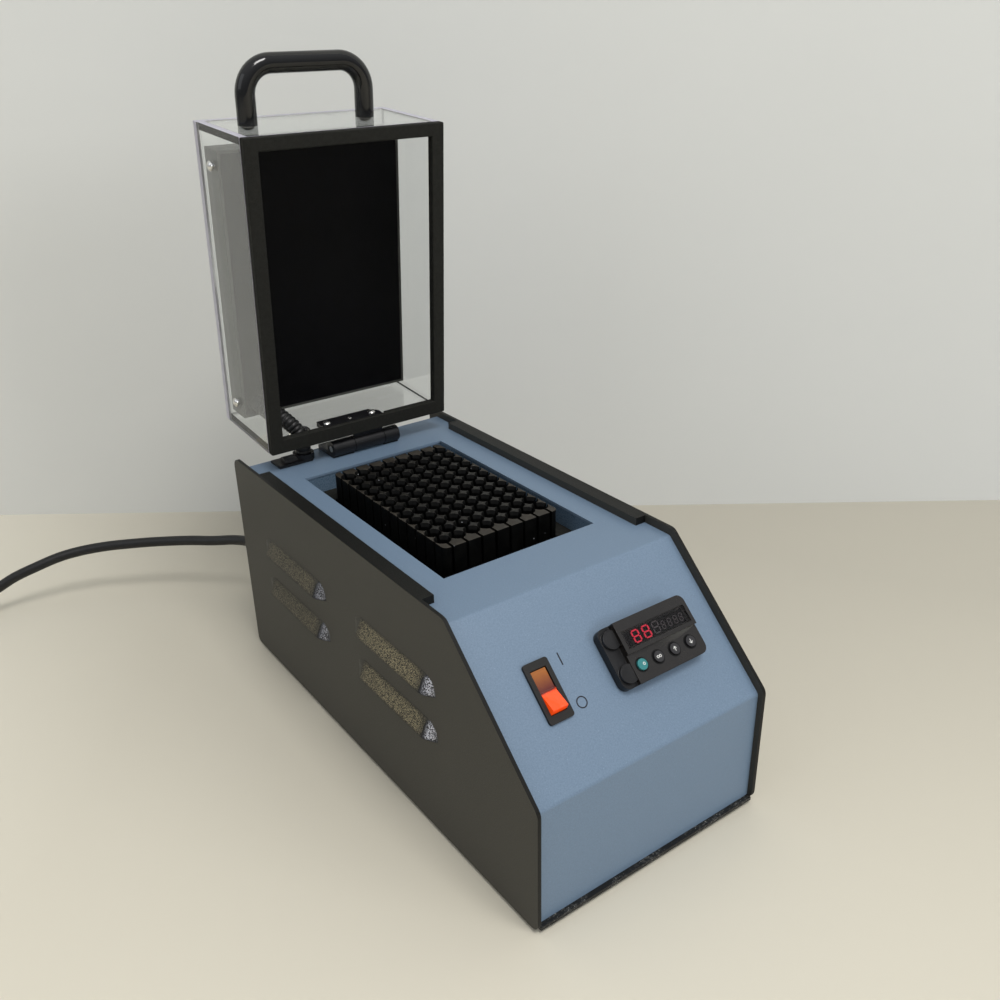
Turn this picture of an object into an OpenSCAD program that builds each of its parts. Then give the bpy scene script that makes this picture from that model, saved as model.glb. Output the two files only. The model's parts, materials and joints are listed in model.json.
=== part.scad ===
// Microplate incubator: a heated block for 96 tubes in a sheet metal case,
// with a hinged clear lid that carries a second heater.
// Millimetres. X runs across the front, Y from front to back, Z up.
// Pieces are drawn in three frames: the case, the sloping panel and the closed lid.

/* [Case] */
// Width over both side panels
case_w = 144.1; // [136:0.1:170]
// Depth of the side panels
case_d = 301.3; // [290:0.1:340]
// Height of the side panels above their bottom edge
case_h = 132.4; // [126:0.1:150]
// Height of the side panels' upright front edge
front_h = 68.8; // [60:0.1:80]
// Slope of the front panel from the level, degrees
slope_angle = 43; // [40:0.5:48]
// Thickness of the side panel sheet
panel_t = 2; // [1.6:0.1:2.4]
// Thickness of the cover and rear panel sheet
cover_t = 1.5; // [1.2:0.1:2]
// Thickness of the base pan sheet
pan_t = 2; // [1.5:0.1:2.5]
// How far the cover's front stands behind the side panels' front edge
set_front = 3; // [2:0.1:5]
// How far the cover's slope lies below the side panels' slope
set_slope = 4; // [3:0.1:6]
// How far the cover's top lies below the side panels' top
set_top = 4.3; // [3:0.1:6]
// How far the rear panel stands inside the side panels' back edge
set_back = 9.7; // [6:0.1:14]
// Width of the folded strip along each side panel's top
hem_w = 8.5; // [7:0.1:11]
// Width of the side panels' bottom flange
flange_w = 12; // [10:0.5:16]
// Depth of the cover's turned-down side flanges
skirt_h = 11; // [8:0.5:14]
// Height of the rubber feet
foot_h = 2; // [1.6:0.1:4]
// Diameter of the rubber feet
foot_dia = 14; // [10:0.5:18]
// Length of a louvre
louvre_l = 77; // [60:1:84]
// Height of a louvre
louvre_h = 10; // [8:0.5:14]
// How far a louvre stands out
louvre_out = 4.3; // [3:0.1:6]
// Height of the lower louvres' open edge
louvre_z = 57.5; // [45:0.5:62]
// Rise from one row of louvres to the next
louvre_rise = 26.5; // [20:0.5:32]
// Distance from the back edge to the rear louvres
louvre_back = 36; // [20:1:42]
// Gap between the front and the rear louvres
louvre_gap = 33.5; // [20:0.5:42]

/* [Chamber and block] */
// Width of the opening in the cover
opening_w = 95.7; // [90:0.1:104]
// Length of the opening in the cover
opening_l = 149.5; // [140:0.1:158]
// Distance from the cover's back edge to the opening
opening_back = 37.9; // [34:0.1:44]
// Depth of the chamber floor below the cover's top
floor_drop = 11.8; // [9:0.1:15]
// Well pitch of the block
pitch = 9; // [8.6:0.1:9.2]
// Wells across the block
wells_across = 8; // [4:1:8]
// Wells along the block
wells_along = 12; // [6:1:12]
// Well diameter
well_dia = 7.4; // [6:0.1:8]
// Diameter of the wells' flared mouths
well_mouth = 9.2; // [8:0.1:9.6]
// Width of the slots between the posts
slot_w = 1.5; // [1:0.1:3]
// Metal outside the outer wells' centres, at the block's long sides
block_side = 5; // [4.5:0.1:6]
// Metal outside the outer wells' centres, at the block's short ends
block_end = 9.5; // [5:0.1:12]
// Height of the block's posts
post_h = 16; // [14:0.5:18]
// Height of the block's solid foot
slab_h = 12; // [8:0.5:16]
// How far the block stands above the cover
block_proud = 5.5; // [4:0.1:8]
// Thickness of the heater clamp plate
clamp_t = 3; // [2:0.5:5]
// Thickness of the heater mats
mat_t = 1.5; // [1:0.1:2]
// Depth of the insulation round the block
foam_h = 20; // [16:0.5:26]
// Diameter of the block's standoffs
standoff_dia = 8; // [6:0.5:10]

/* [Lid] */
// Width of the lid
lid_w = 121.4; // [116:0.1:124]
// Length of the lid
lid_l = 178.7; // [172:0.1:184]
// Depth of the lid from its rim to its outer face
lid_depth = 67; // [60:0.1:76]
// Thickness of the clear sheet
lid_t = 4.5; // [3:0.1:5.5]
// Thickness of the black gasket on the rim
gasket_t = 5; // [4:0.1:6]
// Width of the gasket's side strips
gasket_side = 7.9; // [6:0.1:9]
// Width of the gasket's strip at the handle end
gasket_free = 7.3; // [6:0.1:9]
// Width of the gasket's strip at the hinge end
gasket_hinge = 8.8; // [7.5:0.1:10]
// Angle that the lid stands open, from closed
lid_open = 85.9; // [75:0.1:95]
// Gap under the closed lid
rim_gap = 0.6; // [0.4:0.1:1.5]
// Distance from the hinge axis to the closed lid's back wall
hinge_reach = 8.1; // [7:0.1:10]
// Side play between the heated cover and the lid's walls
cover_play = 0.7; // [0.3:0.1:0.9]
// Distance from the lid's hinge end to the heated cover
heater_end = 8; // [7.5:0.1:10]
// Distance from the lid's free end to the heated cover
heater_free = 12.7; // [11:0.1:16]
// Depth of the heater plate's face behind the rim
heater_n = 42.5; // [40:0.5:46]
// Thickness of the whole heated cover
heater_h = 17.5; // [14:0.5:18]
// Thickness of the heater plate
plate_t = 3; // [2:0.5:4]
// Wall of the heated cover's box
box_t = 1.6; // [1.2:0.1:2.4]

/* [Handle] */
// Diameter of the handle's bar
handle_dia = 10.8; // [8:0.2:12]
// Distance between the handle's legs
handle_span = 72; // [64:1:90]
// Height of the handle above the lid's end
handle_h = 36; // [28:1:44]
// Bend radius of the bar's centre line
handle_bend = 15.5; // [10:0.5:18]
// Depth of the handle behind the rim
handle_n = 38; // [30:0.5:44]
// How far the handle's middle lies left of the lid's
handle_left = 5.2; // [0:0.2:8]

/* [Hinge] */
// Diameter of the hinge barrel
barrel_dia = 10; // [9:0.1:11]
// Diameter of the hinge pin
pin_dia = 4; // [3:0.1:5]
// Gap between the barrel and the cover
barrel_gap = 0.5; // [0.3:0.1:1]
// Distance from the cover's back edge to the hinge axis
hinge_back = 19; // [17:0.1:22]
// Left end of the barrel
barrel_left = -20; // [-24:0.5:-16]
// Length of the left knuckle
knuckle_left = 15; // [12:0.5:17]
// Length of the middle knuckle, which turns with the lid
knuckle_mid = 21; // [16:0.5:24]
// Length of the right knuckle
knuckle_right = 10.5; // [8:0.5:14]
// Thickness of the lid's leaf
leaf_t = 3; // [2:0.1:4]
// How far the lid's leaf reaches in from the rim
leaf_n = 15; // [14:0.5:20]
// Thickness of the strip that joins the lid's leaf to the barrel
leaf_root_t = 1.5; // [1.2:0.1:2]
// Thickness of the body's leaf
body_leaf_t = 3; // [2.5:0.1:4]
// Gap between the knuckles
knuckle_gap = 0.3; // [0.2:0.05:0.6]

/* [Switch] */
// Width of the switch's bezel
switch_w = 14; // [12:0.5:17]
// Length of the switch's bezel
switch_l = 29.5; // [26:0.5:32]
// Thickness of the switch's bezel
switch_rim = 1.5; // [1:0.1:2.5]
// Place of the switch left of the middle
switch_left = 38.2; // [36:0.1:42]
// Place of the switch up the slope
switch_s = 45.2; // [40:0.1:50]
// Width of the rocker
rocker_w = 8.4; // [7:0.1:9.5]
// Length of the rocker
rocker_l = 21; // [18:0.5:22]
// Tilt of the rocker either side of level, degrees
rocker_tilt = 11; // [8:0.5:13]
// Clearance round the rocker
rocker_gap = 0.35; // [0.25:0.05:0.6]
// Depth of the switch's body behind the panel
switch_deep = 18; // [15:0.5:22]

/* [Controller] */
// Width of the controller's front
ctrl_w = 53.3; // [48:0.1:56]
// Height of the controller's front, along the slope
ctrl_l = 30.9; // [28:0.1:34]
// Place of the controller right of the middle
ctrl_right = 23.2; // [20:0.1:28]
// Place of the controller up the slope
ctrl_s = 44.9; // [40:0.1:50]
// Height of the step that carries the keys
key_step = 7.4; // [6:0.1:8.4]
// Height of the step that carries the display
display_step = 9.2; // [8.8:0.1:11]
// Length of the display step along the slope
display_l = 16.5; // [14:0.1:18]
// Width of the controller's rear case
rear_w = 44.6; // [40:0.1:46]
// Height of the controller's rear case
rear_l = 22; // [20:0.1:24]
// Depth of the controller's rear case
rear_deep = 58; // [50:1:64]
// Width of the display window
window_w = 41; // [36:0.5:43]
// Height of the display window
window_l = 8.8; // [8:0.1:11]
// Diameter of the keys
key_dia = 5.5; // [4.5:0.1:6.5]
// Distance between keys
key_pitch = 10.6; // [9.5:0.1:11]
// Travel of a key
key_travel = 0.8; // [0.5:0.1:1]
// Clearance round a key
key_gap = 0.25; // [0.15:0.05:0.4]

/* [Power inlet and cables] */
// Place of the power inlet left of the middle
inlet_left = 51; // [46:0.5:52]
// Height of the power inlet
inlet_z = 45; // [38:0.5:60]
// Diameter of the mains cord
cord_dia = 7; // [6:0.1:8]
// Diameter of the ribbed lid cable over its ribs
lid_cable_dia = 10; // [9:0.1:11]
// Radial clearance of a screw in its hole
screw_play = 0.05; // [0.02:0.01:0.1]

/* [Hidden] */
$fn = 48;
eps = 0.01;

// Case
inner_x = case_w / 2 - panel_t;
cover_top = case_h - set_top;
cover_back = case_d - set_back;
side_play = 0.1;
cover_w = 2 * (inner_x - side_play);
under_cover = cover_top - cover_t;
bend_r = 3;
panel_r = 6;
slope_run = (case_h - front_h) / tan(slope_angle);
rear_in = cover_back - cover_t;
pan_front = 0.3;

// The front panel's slope at an inset from the cover's outside
function slope_z(y, inset) = front_h + y * tan(slope_angle) - (set_slope + inset) / cos(slope_angle);
function slope_y(z, inset) = (z - slope_z(0, inset)) / tan(slope_angle);
crease_z = slope_z(set_front, 0);

// Chamber and block
opening_y = cover_back - opening_back - opening_l / 2;
block_w = (wells_across - 1) * pitch + 2 * block_side;
block_l = (wells_along - 1) * pitch + 2 * block_end;
block_rear_gap = 15.5;
block_y = opening_y + opening_l / 2 - block_rear_gap - block_l / 2;
block_top = cover_top + block_proud;
slab_top = block_top - post_h;
slab_bottom = slab_top - slab_h;
mat_bottom = slab_bottom - mat_t;
clamp_bottom = mat_bottom - clamp_t;
floor_top = cover_top - floor_drop;
floor_t = 1.8;
foam_top = floor_top - floor_t;
foam_bottom = foam_top - foam_h;
liner_t = 1.5;
liner_lip = 6;
liner_play = 0.5;
block_play = 0.5;
post_corner = 3;
liner_w = opening_w + 2 * liner_play;
liner_l = opening_l + 2 * liner_play;
liner_flange = 5;

// Hinge and lid
hinge_y = cover_back - hinge_back;
hinge_z = cover_top + barrel_gap + barrel_dia / 2;
rim_drop = hinge_z - cover_top - rim_gap;
lid_in_w = lid_w - 2 * lid_t;
lid_in_depth = lid_depth - lid_t;
overall_d = hinge_y - hinge_reach * cos(lid_open) + (lid_depth - rim_drop) * sin(lid_open);
front_y = -overall_d / 2;

// Screws
screw_r = 1.5;
head_r = 2.9;
head_h = 2;
leaf_head_r = 2.3;
leaf_head_h = [1.6, 0.4, 1.6];
big_screw_r = 2;
big_head_r = 3.5;

// Heated cover in the lid
heater_w = lid_in_w - 2 * cover_play;
heater_y0 = -heater_end;
heater_y1 = -(lid_l - heater_free);
heater_back = heater_n + heater_h;
side_screw_n = heater_n + 5.5;
side_screw_in = 9.4;
pad_bottom = heater_n + plate_t;
foam_lid_bottom = pad_bottom + mat_t;

// Lid cable: where it crosses the lid's hinge wall and where it meets the heated cover
cable_hole_x = -35.4;
cable_hole_n = 15.9;
gland_x = -34.5;
gland_y = hinge_y + 9.3;
gland_len = 22;
gland_w = 13;
gland_h = 4.6;

// Switch and controller
rocker_r = rocker_l / 2;
rocker_pivot_h = 0;
rocker_pin_r = 1.1;
key_flange_r = key_dia / 2 + 0.7;
key_flange_t = 0.9;
key_s = -7.6;
main_shift = 4;
main_w = 45.3;
key_x0 = -17.1;
clip_h = 5;
lobe_r = 4.8;
lobe_s = 8.8;
lobe_h = 1.8;
front_t = 1.8;
gasket_ctrl_t = 0.6;
board_t = 1.6;
window_s = ctrl_l / 2 - display_l / 2 - 1.7;
window_t = 1.2;

// Power inlet
flange_t = 2.5;
inlet_y = cover_back + flange_t;
nose_w = 15.8;
nose_l = 23.6;
nose_deep = 14.5;
nose_play = 0.3;
relief_len = 30;
plug_body_len = 24.4;

// Frames

module in_case() translate([0, front_y, foot_h]) children();

module on_slope() in_case() translate([0, set_front, crease_z]) rotate([slope_angle, 0, 0]) children();

// The closed lid's own frame: rim at Z 0, hinge end at Y 0, free end towards -Y
module in_lid()
  in_case() translate([0, hinge_y, hinge_z]) rotate([-lid_open, 0, 0])
    translate([0, -hinge_reach, -rim_drop]) children();

// Helpers

function unit(v) = v / norm(v);
function short_turn(a) = a > 180 ? a - 360 : a < -180 ? a + 360 : a;

// Points of the arc that rounds corner p between a and b
function fillet(a, p, b, r, n = 5) =
  let (
    u = unit(a - p),
    w = unit(b - p),
    half = acos(u * w) / 2,
    c = p + unit(u + w) * r / sin(half),
    s = p + u * r / tan(half) - c,
    e = p + w * r / tan(half) - c,
    a0 = atan2(s[1], s[0]),
    sweep = short_turn(atan2(e[1], e[0]) - a0)
  )
  [for (i = [0:n]) c + r * [cos(a0 + sweep * i / n), sin(a0 + sweep * i / n)]];

function round_loop(pts, radii) =
  [for (i = [0:len(pts) - 1])
    each fillet(pts[(i + len(pts) - 1) % len(pts)], pts[i], pts[(i + 1) % len(pts)], radii[i])];

function round_path(pts, r) =
  [for (i = [0:len(pts) - 1])
    each (i == 0 || i == len(pts) - 1) ? [pts[i]] : fillet(pts[i - 1], pts[i], pts[i + 1], r)];

function backwards(pts) = [for (i = [len(pts) - 1:-1:0]) pts[i]];

function rounded_box(w, l, r) =
  round_loop([[-w / 2, -l / 2], [w / 2, -l / 2], [w / 2, l / 2], [-w / 2, l / 2]], [r, r, r, r]);

// A box centred on X and Y, from z0 to z1
module slab(w, l, z0, z1) translate([-w / 2, -l / 2, z0]) cube([w, l, z1 - z0]);

// A flat outline in Y and Z drawn out along X, centred
module across(w) rotate([90, 0, 90]) linear_extrude(w, center = true) children();

// A tube of a given radius at each point of a path
module tube(path, radii, sides, ref) {
  n = len(path);
  points = [for (i = [0:n - 1])
    let (
      t = unit(path[min(i + 1, n - 1)] - path[max(i - 1, 0)]),
      s = unit(cross(t, ref)),
      u = cross(s, t)
    )
    for (j = [0:sides - 1])
      path[i] + radii[i] * (cos(360 * j / sides) * s + sin(360 * j / sides) * u)];
  walls = [for (i = [0:n - 2], j = [0:sides - 1])
    let (
      a = i * sides + j,
      b = i * sides + (j + 1) % sides
    )
    each [[a, a + sides, b], [b, a + sides, b + sides]]];
  ends = [
    [for (j = [0:sides - 1]) j],
    [for (j = [sides - 1:-1:0]) (n - 1) * sides + j]
  ];
  polyhedron(points, concat(walls, ends));
}

// A screw with a low domed head, its shank towards -Z and its head on Z 0
module screw(r, len, cap_r, cap_h) {
  translate([0, 0, -len]) cylinder(r = r, h = len);
  intersection() {
    cylinder(r = cap_r, h = cap_h);
    translate([0, 0, cap_h - cap_r * 1.25]) sphere(r = cap_r * 1.25);
  }
}

// Case

// The cover's outline from front to back at an inset from its outside
function cover_path(inset) = [
  [set_front + inset, pan_t],
  [set_front + inset, slope_z(set_front + inset, inset)],
  [slope_y(cover_top - inset, inset), cover_top - inset],
  [cover_back, cover_top - inset]
];

module cover_band(from, to) {
  outer = round_path(cover_path(from), from == 0 ? bend_r : bend_r - cover_t);
  inner = round_path(cover_path(to), from == 0 ? bend_r - cover_t : 1);
  polygon(concat(outer, backwards(inner)));
}

module top_cover() color("SteelBlue") {
  difference() {
    union() {
      in_case() across(cover_w) cover_band(0, cover_t);
      for (side = [-1, 1])
        in_case() translate([side * (cover_w - cover_t) / 2, 0, 0])
          across(cover_t) cover_band(cover_t - eps, skirt_h);
    }
    in_case() translate([0, opening_y, 0]) slab(opening_w, opening_l, under_cover - 1, case_h);
    on_slope() translate([-switch_left, switch_s, 0])
      slab(switch_body_w() + 0.2, switch_body_l() + 0.2, -2 * cover_t, 1);
    at_main() slab(rear_w + 0.4, rear_l + 0.4, -2 * cover_t, 1);
    hinge_screw_places() translate([0, 0, -10]) cylinder(r = big_screw_r + screw_play, h = 20);
    in_case() translate([gland_x, gland_y, under_cover - 1])
      cylinder(r = lid_cable_dia / 2 - 1, h = cover_t + 2);
  }
}

module panel_outline()
  polygon(round_loop(
    [[0, 0], [0, front_h], [slope_run, case_h], [case_d, case_h], [case_d, 0]],
    [5, panel_r, panel_r, panel_r, 4]));

hem_front = slope_run + 20;
hem_back = hinge_y - 5;
flange_front = set_front + skirt_h + 2;

// One side panel with its louvres, drawn on the right
module side_panel() {
  difference() {
    translate([case_w / 2 - panel_t / 2, 0, 0]) across(panel_t) panel_outline();
    louvre_places() translate([-panel_t / 2, 0, 0]) across(panel_t + 2) polygon(concat(
      [[louvre_l - louvre_lap, -0.2], [louvre_lap, -0.2]],
      [for (y = louvre_ys)
        [y < louvre_l / 2 ? y + louvre_lap : y - louvre_lap, louvre_rim(y) - louvre_lap]]));
  }
  louvre_places() louvre();
  translate([case_w / 2 - hem_w, hem_front, cover_top])
    cube([hem_w - panel_t + eps, hem_back - hem_front, set_top]);
  difference() {
    translate([inner_x - flange_w, flange_front, pan_t])
      cube([flange_w + eps, rear_in - 2 - flange_front, panel_t]);
    base_screw_places() cylinder(r = screw_r + screw_play, h = 3 * pan_t + 3 * panel_t, center = true);
  }
}

module louvre_places()
  for (row = [0, 1], rank = [0, 1])
    translate([case_w / 2, case_d - louvre_back - louvre_l - rank * (louvre_l + louvre_gap),
      louvre_z + row * louvre_rise])
      children();

louvre_nose = 9;
louvre_tail = 7;
louvre_lap = 0.4;
louvre_ys = concat(
  [for (f = [0, 0.1, 0.25, 0.5, 0.75, 1]) f * louvre_nose],
  [louvre_l - louvre_tail, louvre_l]);

// Height of a louvre's top edge: the front end rounds down as a quarter of an ellipse
function louvre_rim(y) =
  let (f = max(0, 1 - y / louvre_nose))
  louvre_h * (0.25 + 0.75 * sqrt(1 - f * f));

// How far its open edge stands out: rounded at the front end, straight at the back
function louvre_reach(y) =
  louvre_out * min(sin(90 * min(1, y / louvre_nose)), (louvre_l - y) / louvre_tail);

// A pressed louvre: a flat leaning face, attached along its top and its ends, open downwards
module louvre() {
  rows = 3;
  outer = [for (y = louvre_ys, k = [0:rows])
    [louvre_reach(y) * k / rows, y, louvre_rim(y) * (1 - k / rows)]];
  count = len(outer);
  points = concat(outer, [for (q = outer) q - [panel_t, 0, 0]]);
  m = rows + 1;
  last = len(louvre_ys) - 1;
  skin = [for (i = [0:last - 1], k = [0:rows - 1])
    let (a = i * m + k, b = a + m)
    each [[a, b + 1, a + 1], [a, b, b + 1],
      [a + count, a + 1 + count, b + 1 + count], [a + count, b + 1 + count, b + count]]];
  lips = [for (i = [0:last - 1], k = [0, rows])
    let (a = i * m + k, b = a + m)
    each k == 0
      ? [[a, a + count, b], [b, a + count, b + count]]
      : [[a, b, a + count], [b, b + count, a + count]]];
  ends = [for (i = [0, last], k = [0:rows - 1])
    let (a = i * m + k, b = a + 1)
    each i == 0
      ? [[a, b, a + count], [b, b + count, a + count]]
      : [[a, a + count, b], [b, a + count, b + count]]];
  polyhedron(points, concat(skin, lips, ends));
}

module right_side_panel() color("DimGray") in_case() side_panel();
module left_side_panel() color("DimGray") in_case() mirror([1, 0, 0]) side_panel();

module base_pan() color("Black") in_case() difference() {
  union() {
    translate([0, (pan_front + cover_back) / 2, 0]) slab(cover_w, cover_back - pan_front, 0, pan_t);
    translate([0, set_front + cover_t + pan_t / 2, 0])
      slab(cover_w - 2 * flange_w, pan_t, pan_t - eps, 14);
  }
  base_screw_places() cylinder(r = screw_r + screw_play, h = 3 * pan_t, center = true);
  mirror([1, 0, 0]) base_screw_places() cylinder(r = screw_r + screw_play, h = 3 * pan_t, center = true);
  standoff_places() cylinder(r = screw_r + screw_play, h = 3 * pan_t, center = true);
}

module rear_panel() color("Black") in_case() difference() {
  translate([0, cover_back - cover_t / 2, 0]) slab(cover_w - 2 * cover_t - 0.2, cover_t, pan_t, under_cover);
  translate([-inlet_left, cover_back, inlet_z])
    cube([inlet_body_w() + 0.2, 4 * cover_t, inlet_body_l() + 0.2], center = true);
  inlet_screw_places() rotate([90, 0, 0])
    cylinder(r = screw_r + screw_play, h = 6 * cover_t, center = true);
}

module foot_places()
  for (x = [-1, 1], y = [24, cover_back - 24])
    translate([x * (inner_x - foot_dia / 2 - flange_w - 2), y, 0]) children();

module rubber_feet() color("Black") in_case() foot_places()
  translate([0, 0, -foot_h]) cylinder(d = foot_dia, h = foot_h);

// Screws through the pan into the side panels' flanges, right side
module base_screw_places()
  for (y = [30, case_d / 2, case_d - 50])
    translate([inner_x - flange_w / 2, y, 0]) children();

base_head_h = foot_h - 0.4;

module base_screws() color("Silver") in_case() {
  for (side = [0, 1]) mirror([side, 0, 0]) base_screw_places() rotate([180, 0, 0])
    screw(screw_r, pan_t + panel_t + 1, head_r, base_head_h);
  standoff_places() rotate([180, 0, 0]) screw(screw_r, pan_t + 6, head_r, base_head_h);
}

// Chamber and block

module chamber_liner() color("SteelBlue") in_case() translate([0, opening_y, 0]) {
  difference() {
    union() {
      slab(liner_w + 2 * liner_t, liner_l + 2 * liner_t, foam_bottom - liner_t, under_cover);
      slab(liner_w + 2 * liner_flange, liner_l + 2 * liner_flange, under_cover - liner_t, under_cover);
    }
    slab(liner_w, liner_l, foam_bottom, case_h);
    slab(liner_w - 2 * liner_lip, liner_l - 2 * liner_lip, foam_bottom - 2 * liner_t, case_h);
  }
}

// A frame that fills the liner round the block
module round_the_block(z0, z1) {
  play = 0.2;
  difference() {
    translate([0, opening_y, 0]) slab(liner_w - 2 * play, liner_l - 2 * play, z0, z1);
    translate([0, block_y, 0])
      slab(block_w + 2 * block_play, block_l + 2 * block_play, z0 - 1, z1 + 1);
  }
}

module chamber_insulation() color("Khaki") in_case() difference() {
  round_the_block(foam_bottom, foam_top);
  sensor_place() cylinder(r = 2.6, h = 60, center = true);
}
module chamber_floor() color("Black") in_case() round_the_block(foam_top, floor_top);

module at_block() in_case() translate([0, block_y, 0]) children();

module well_places()
  for (i = [0:wells_across - 1], j = [0:wells_along - 1])
    translate([(i - (wells_across - 1) / 2) * pitch, (j - (wells_along - 1) / 2) * pitch, 0]) children();

module well_block() color("DarkSlateGray") at_block() difference() {
  slab(block_w, block_l, slab_bottom, slab_top);
  block_screw_places() translate([0, 0, slab_bottom - 1]) cylinder(r = big_screw_r + screw_play, h = 9);
  translate([0, block_l / 2 - 25, slab_bottom + slab_h / 2]) rotate([-90, 0, 0])
    cylinder(r = sensor_r + screw_play, h = 40);
}

mouth_h = 2;

// What stands between the crossing slots once the wells are bored
module well_posts() color("DarkSlateGray") at_block() difference() {
  translate([0, 0, slab_top]) linear_extrude(post_h) polygon(rounded_box(block_w, block_l, post_corner));
  well_places() cylinder(d = well_dia, h = block_top + 1);
  well_places() translate([0, 0, block_top - mouth_h])
    cylinder(d1 = well_dia - eps, d2 = well_mouth + (well_mouth - well_dia) * 0.1, h = mouth_h * 1.1);
  for (i = [0:wells_across - 1]) translate([(i - (wells_across - 1) / 2) * pitch, 0, 0])
    slab(slot_w, block_l + 2, slab_top - 1, block_top + 1);
  for (j = [0:wells_along - 1]) translate([0, (j - (wells_along - 1) / 2) * pitch, 0])
    slab(block_w + 2, slot_w, slab_top - 1, block_top + 1);
}

module block_heater() color("OrangeRed") at_block() difference() {
  slab(block_w - 2, block_l - 2, mat_bottom, slab_bottom);
  block_screw_places() cylinder(r = big_screw_r + 0.3, h = 400, center = true);
}

module heater_clamp_plate() color("Silver") at_block() difference() {
  slab(block_w, block_l, clamp_bottom, mat_bottom);
  block_screw_places() cylinder(r = big_screw_r + screw_play, h = 400, center = true);
}

module block_screw_places()
  for (x = [-1, 1], y = [-1, 0, 1]) translate([x * (block_w / 2 - 14), y * (block_l / 2 - 20), 0]) children();

module block_screws() color("Silver") at_block() block_screw_places()
  translate([0, 0, clamp_bottom]) rotate([180, 0, 0])
    screw(big_screw_r, clamp_t + mat_t + 7, big_head_r, head_h);

module standoff_places()
  translate([0, block_y, 0]) for (x = [-1, 1], y = [-1, 1])
    translate([x * (block_w / 2 - 6), y * (block_l / 2 - 7), 0]) children();

module block_standoffs() color("Goldenrod") in_case() standoff_places() difference() {
  translate([0, 0, pan_t]) cylinder(d = standoff_dia, h = clamp_bottom - pan_t);
  translate([0, 0, pan_t - 1]) cylinder(r = screw_r + screw_play, h = 8);
}

sensor_r = 1.5;

module sensor_place()
  translate([0, block_y + block_l / 2, slab_bottom + slab_h / 2]) rotate([-90, 0, 0]) children();

module block_sensor() color("Silver") in_case() sensor_place() {
  translate([0, 0, -24]) cylinder(r = sensor_r, h = 24 + block_play + 4);
  translate([0, 0, block_play]) cylinder(r = 2.4, h = 5);
}

module thermal_cutout() color("White") at_block() {
  translate([0, 0, clamp_bottom - 6]) cylinder(d = 15, h = 6);
  slab(6, 24, clamp_bottom - 1, clamp_bottom);
}

// Boxes on the pan

relay_w = 44;
relay_l = 58;
relay_h = 22;
strip_w = 60;
strip_l = 18;
strip_h = 16;
strip_pitch = 11;

module heater_relay() color("White") at_block() {
  difference() {
    slab(relay_w, relay_l, pan_t, pan_t + relay_h);
    for (y = [-1, 1]) translate([0, y * (relay_l / 2 - 5), pan_t + 6]) cylinder(r = 5, h = 30);
  }
}

module terminal_strip() color("White") in_case()
  translate([10, block_y + block_l / 2 + 22, 0]) difference() {
    slab(strip_w, strip_l, pan_t, pan_t + strip_h);
    for (i = [-2:2], y = [-1, 1]) translate([i * strip_pitch, y * (strip_l / 2 - 4), pan_t + strip_h - 4])
      cylinder(r = 2.5, h = 10);
  }

// Power inlet

function inlet_body_w() = nose_w + 2 * nose_play + 3.4;
function inlet_body_l() = nose_l + 2 * nose_play + 3.4;

module inlet_screw_places()
  for (z = [-1, 1]) translate([-inlet_left, cover_back, inlet_z + z * 20]) children();

module power_inlet() color("Black") in_case() translate([-inlet_left, 0, inlet_z]) difference() {
  union() {
    translate([0, inlet_y - 9.5, 0]) cube([inlet_body_w(), 19, inlet_body_l()], center = true);
    translate([0, inlet_y, 0]) rotate([90, 0, 0]) linear_extrude(flange_t)
      polygon(rounded_box(22.4, 50, 4));
  }
  translate([0, inlet_y, 0])
    cube([nose_w + 2 * nose_play, 2 * (nose_deep + nose_play), nose_l + 2 * nose_play], center = true);
  for (z = [-1, 1]) translate([0, inlet_y, z * 20]) rotate([90, 0, 0])
    cylinder(r = screw_r + screw_play, h = 8, center = true);
}

module inlet_screws() color("Silver") in_case() inlet_screw_places()
  translate([0, flange_t, 0]) rotate([-90, 0, 0]) screw(screw_r, flange_t + cover_t + 2, head_r, head_h);

module mains_connector() color("Black") in_case() translate([-inlet_left, inlet_y, inlet_z]) {
  translate([0, -nose_deep / 2, 0]) cube([nose_w, nose_deep + eps, nose_l], center = true);
  translate([0, plug_body_len, 0]) rotate([90, 0, 0]) linear_extrude(plug_body_len)
    polygon(rounded_box(nose_w + 3.5, nose_l + 3.5, 4));
  translate([0, plug_body_len - eps, 0]) rotate([-90, 0, 0])
    cylinder(d1 = cord_dia + 6, d2 = cord_dia + 1.6, h = relief_len);
}

// Switch, on the slope

function switch_body_w() = switch_w - 1.6;
function switch_body_l() = switch_l - 3;

module at_switch() on_slope() translate([-switch_left, switch_s, 0]) children();

module switch_housing() color("Black") at_switch() difference() {
  union() {
    linear_extrude(switch_rim) polygon(rounded_box(switch_w, switch_l, 1.5));
    slab(switch_body_w(), switch_body_l(), -switch_deep, eps);
  }
  slab(rocker_w + 2 * rocker_gap, rocker_l + 2 * rocker_gap, -rocker_r, 10);
  translate([0, 0, rocker_pivot_h]) rotate([0, 90, 0])
    cylinder(r = rocker_pin_r + screw_play, h = rocker_w + 2 * rocker_pin_len(), center = true);
}

function rocker_pin_len() = 1.3;

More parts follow.
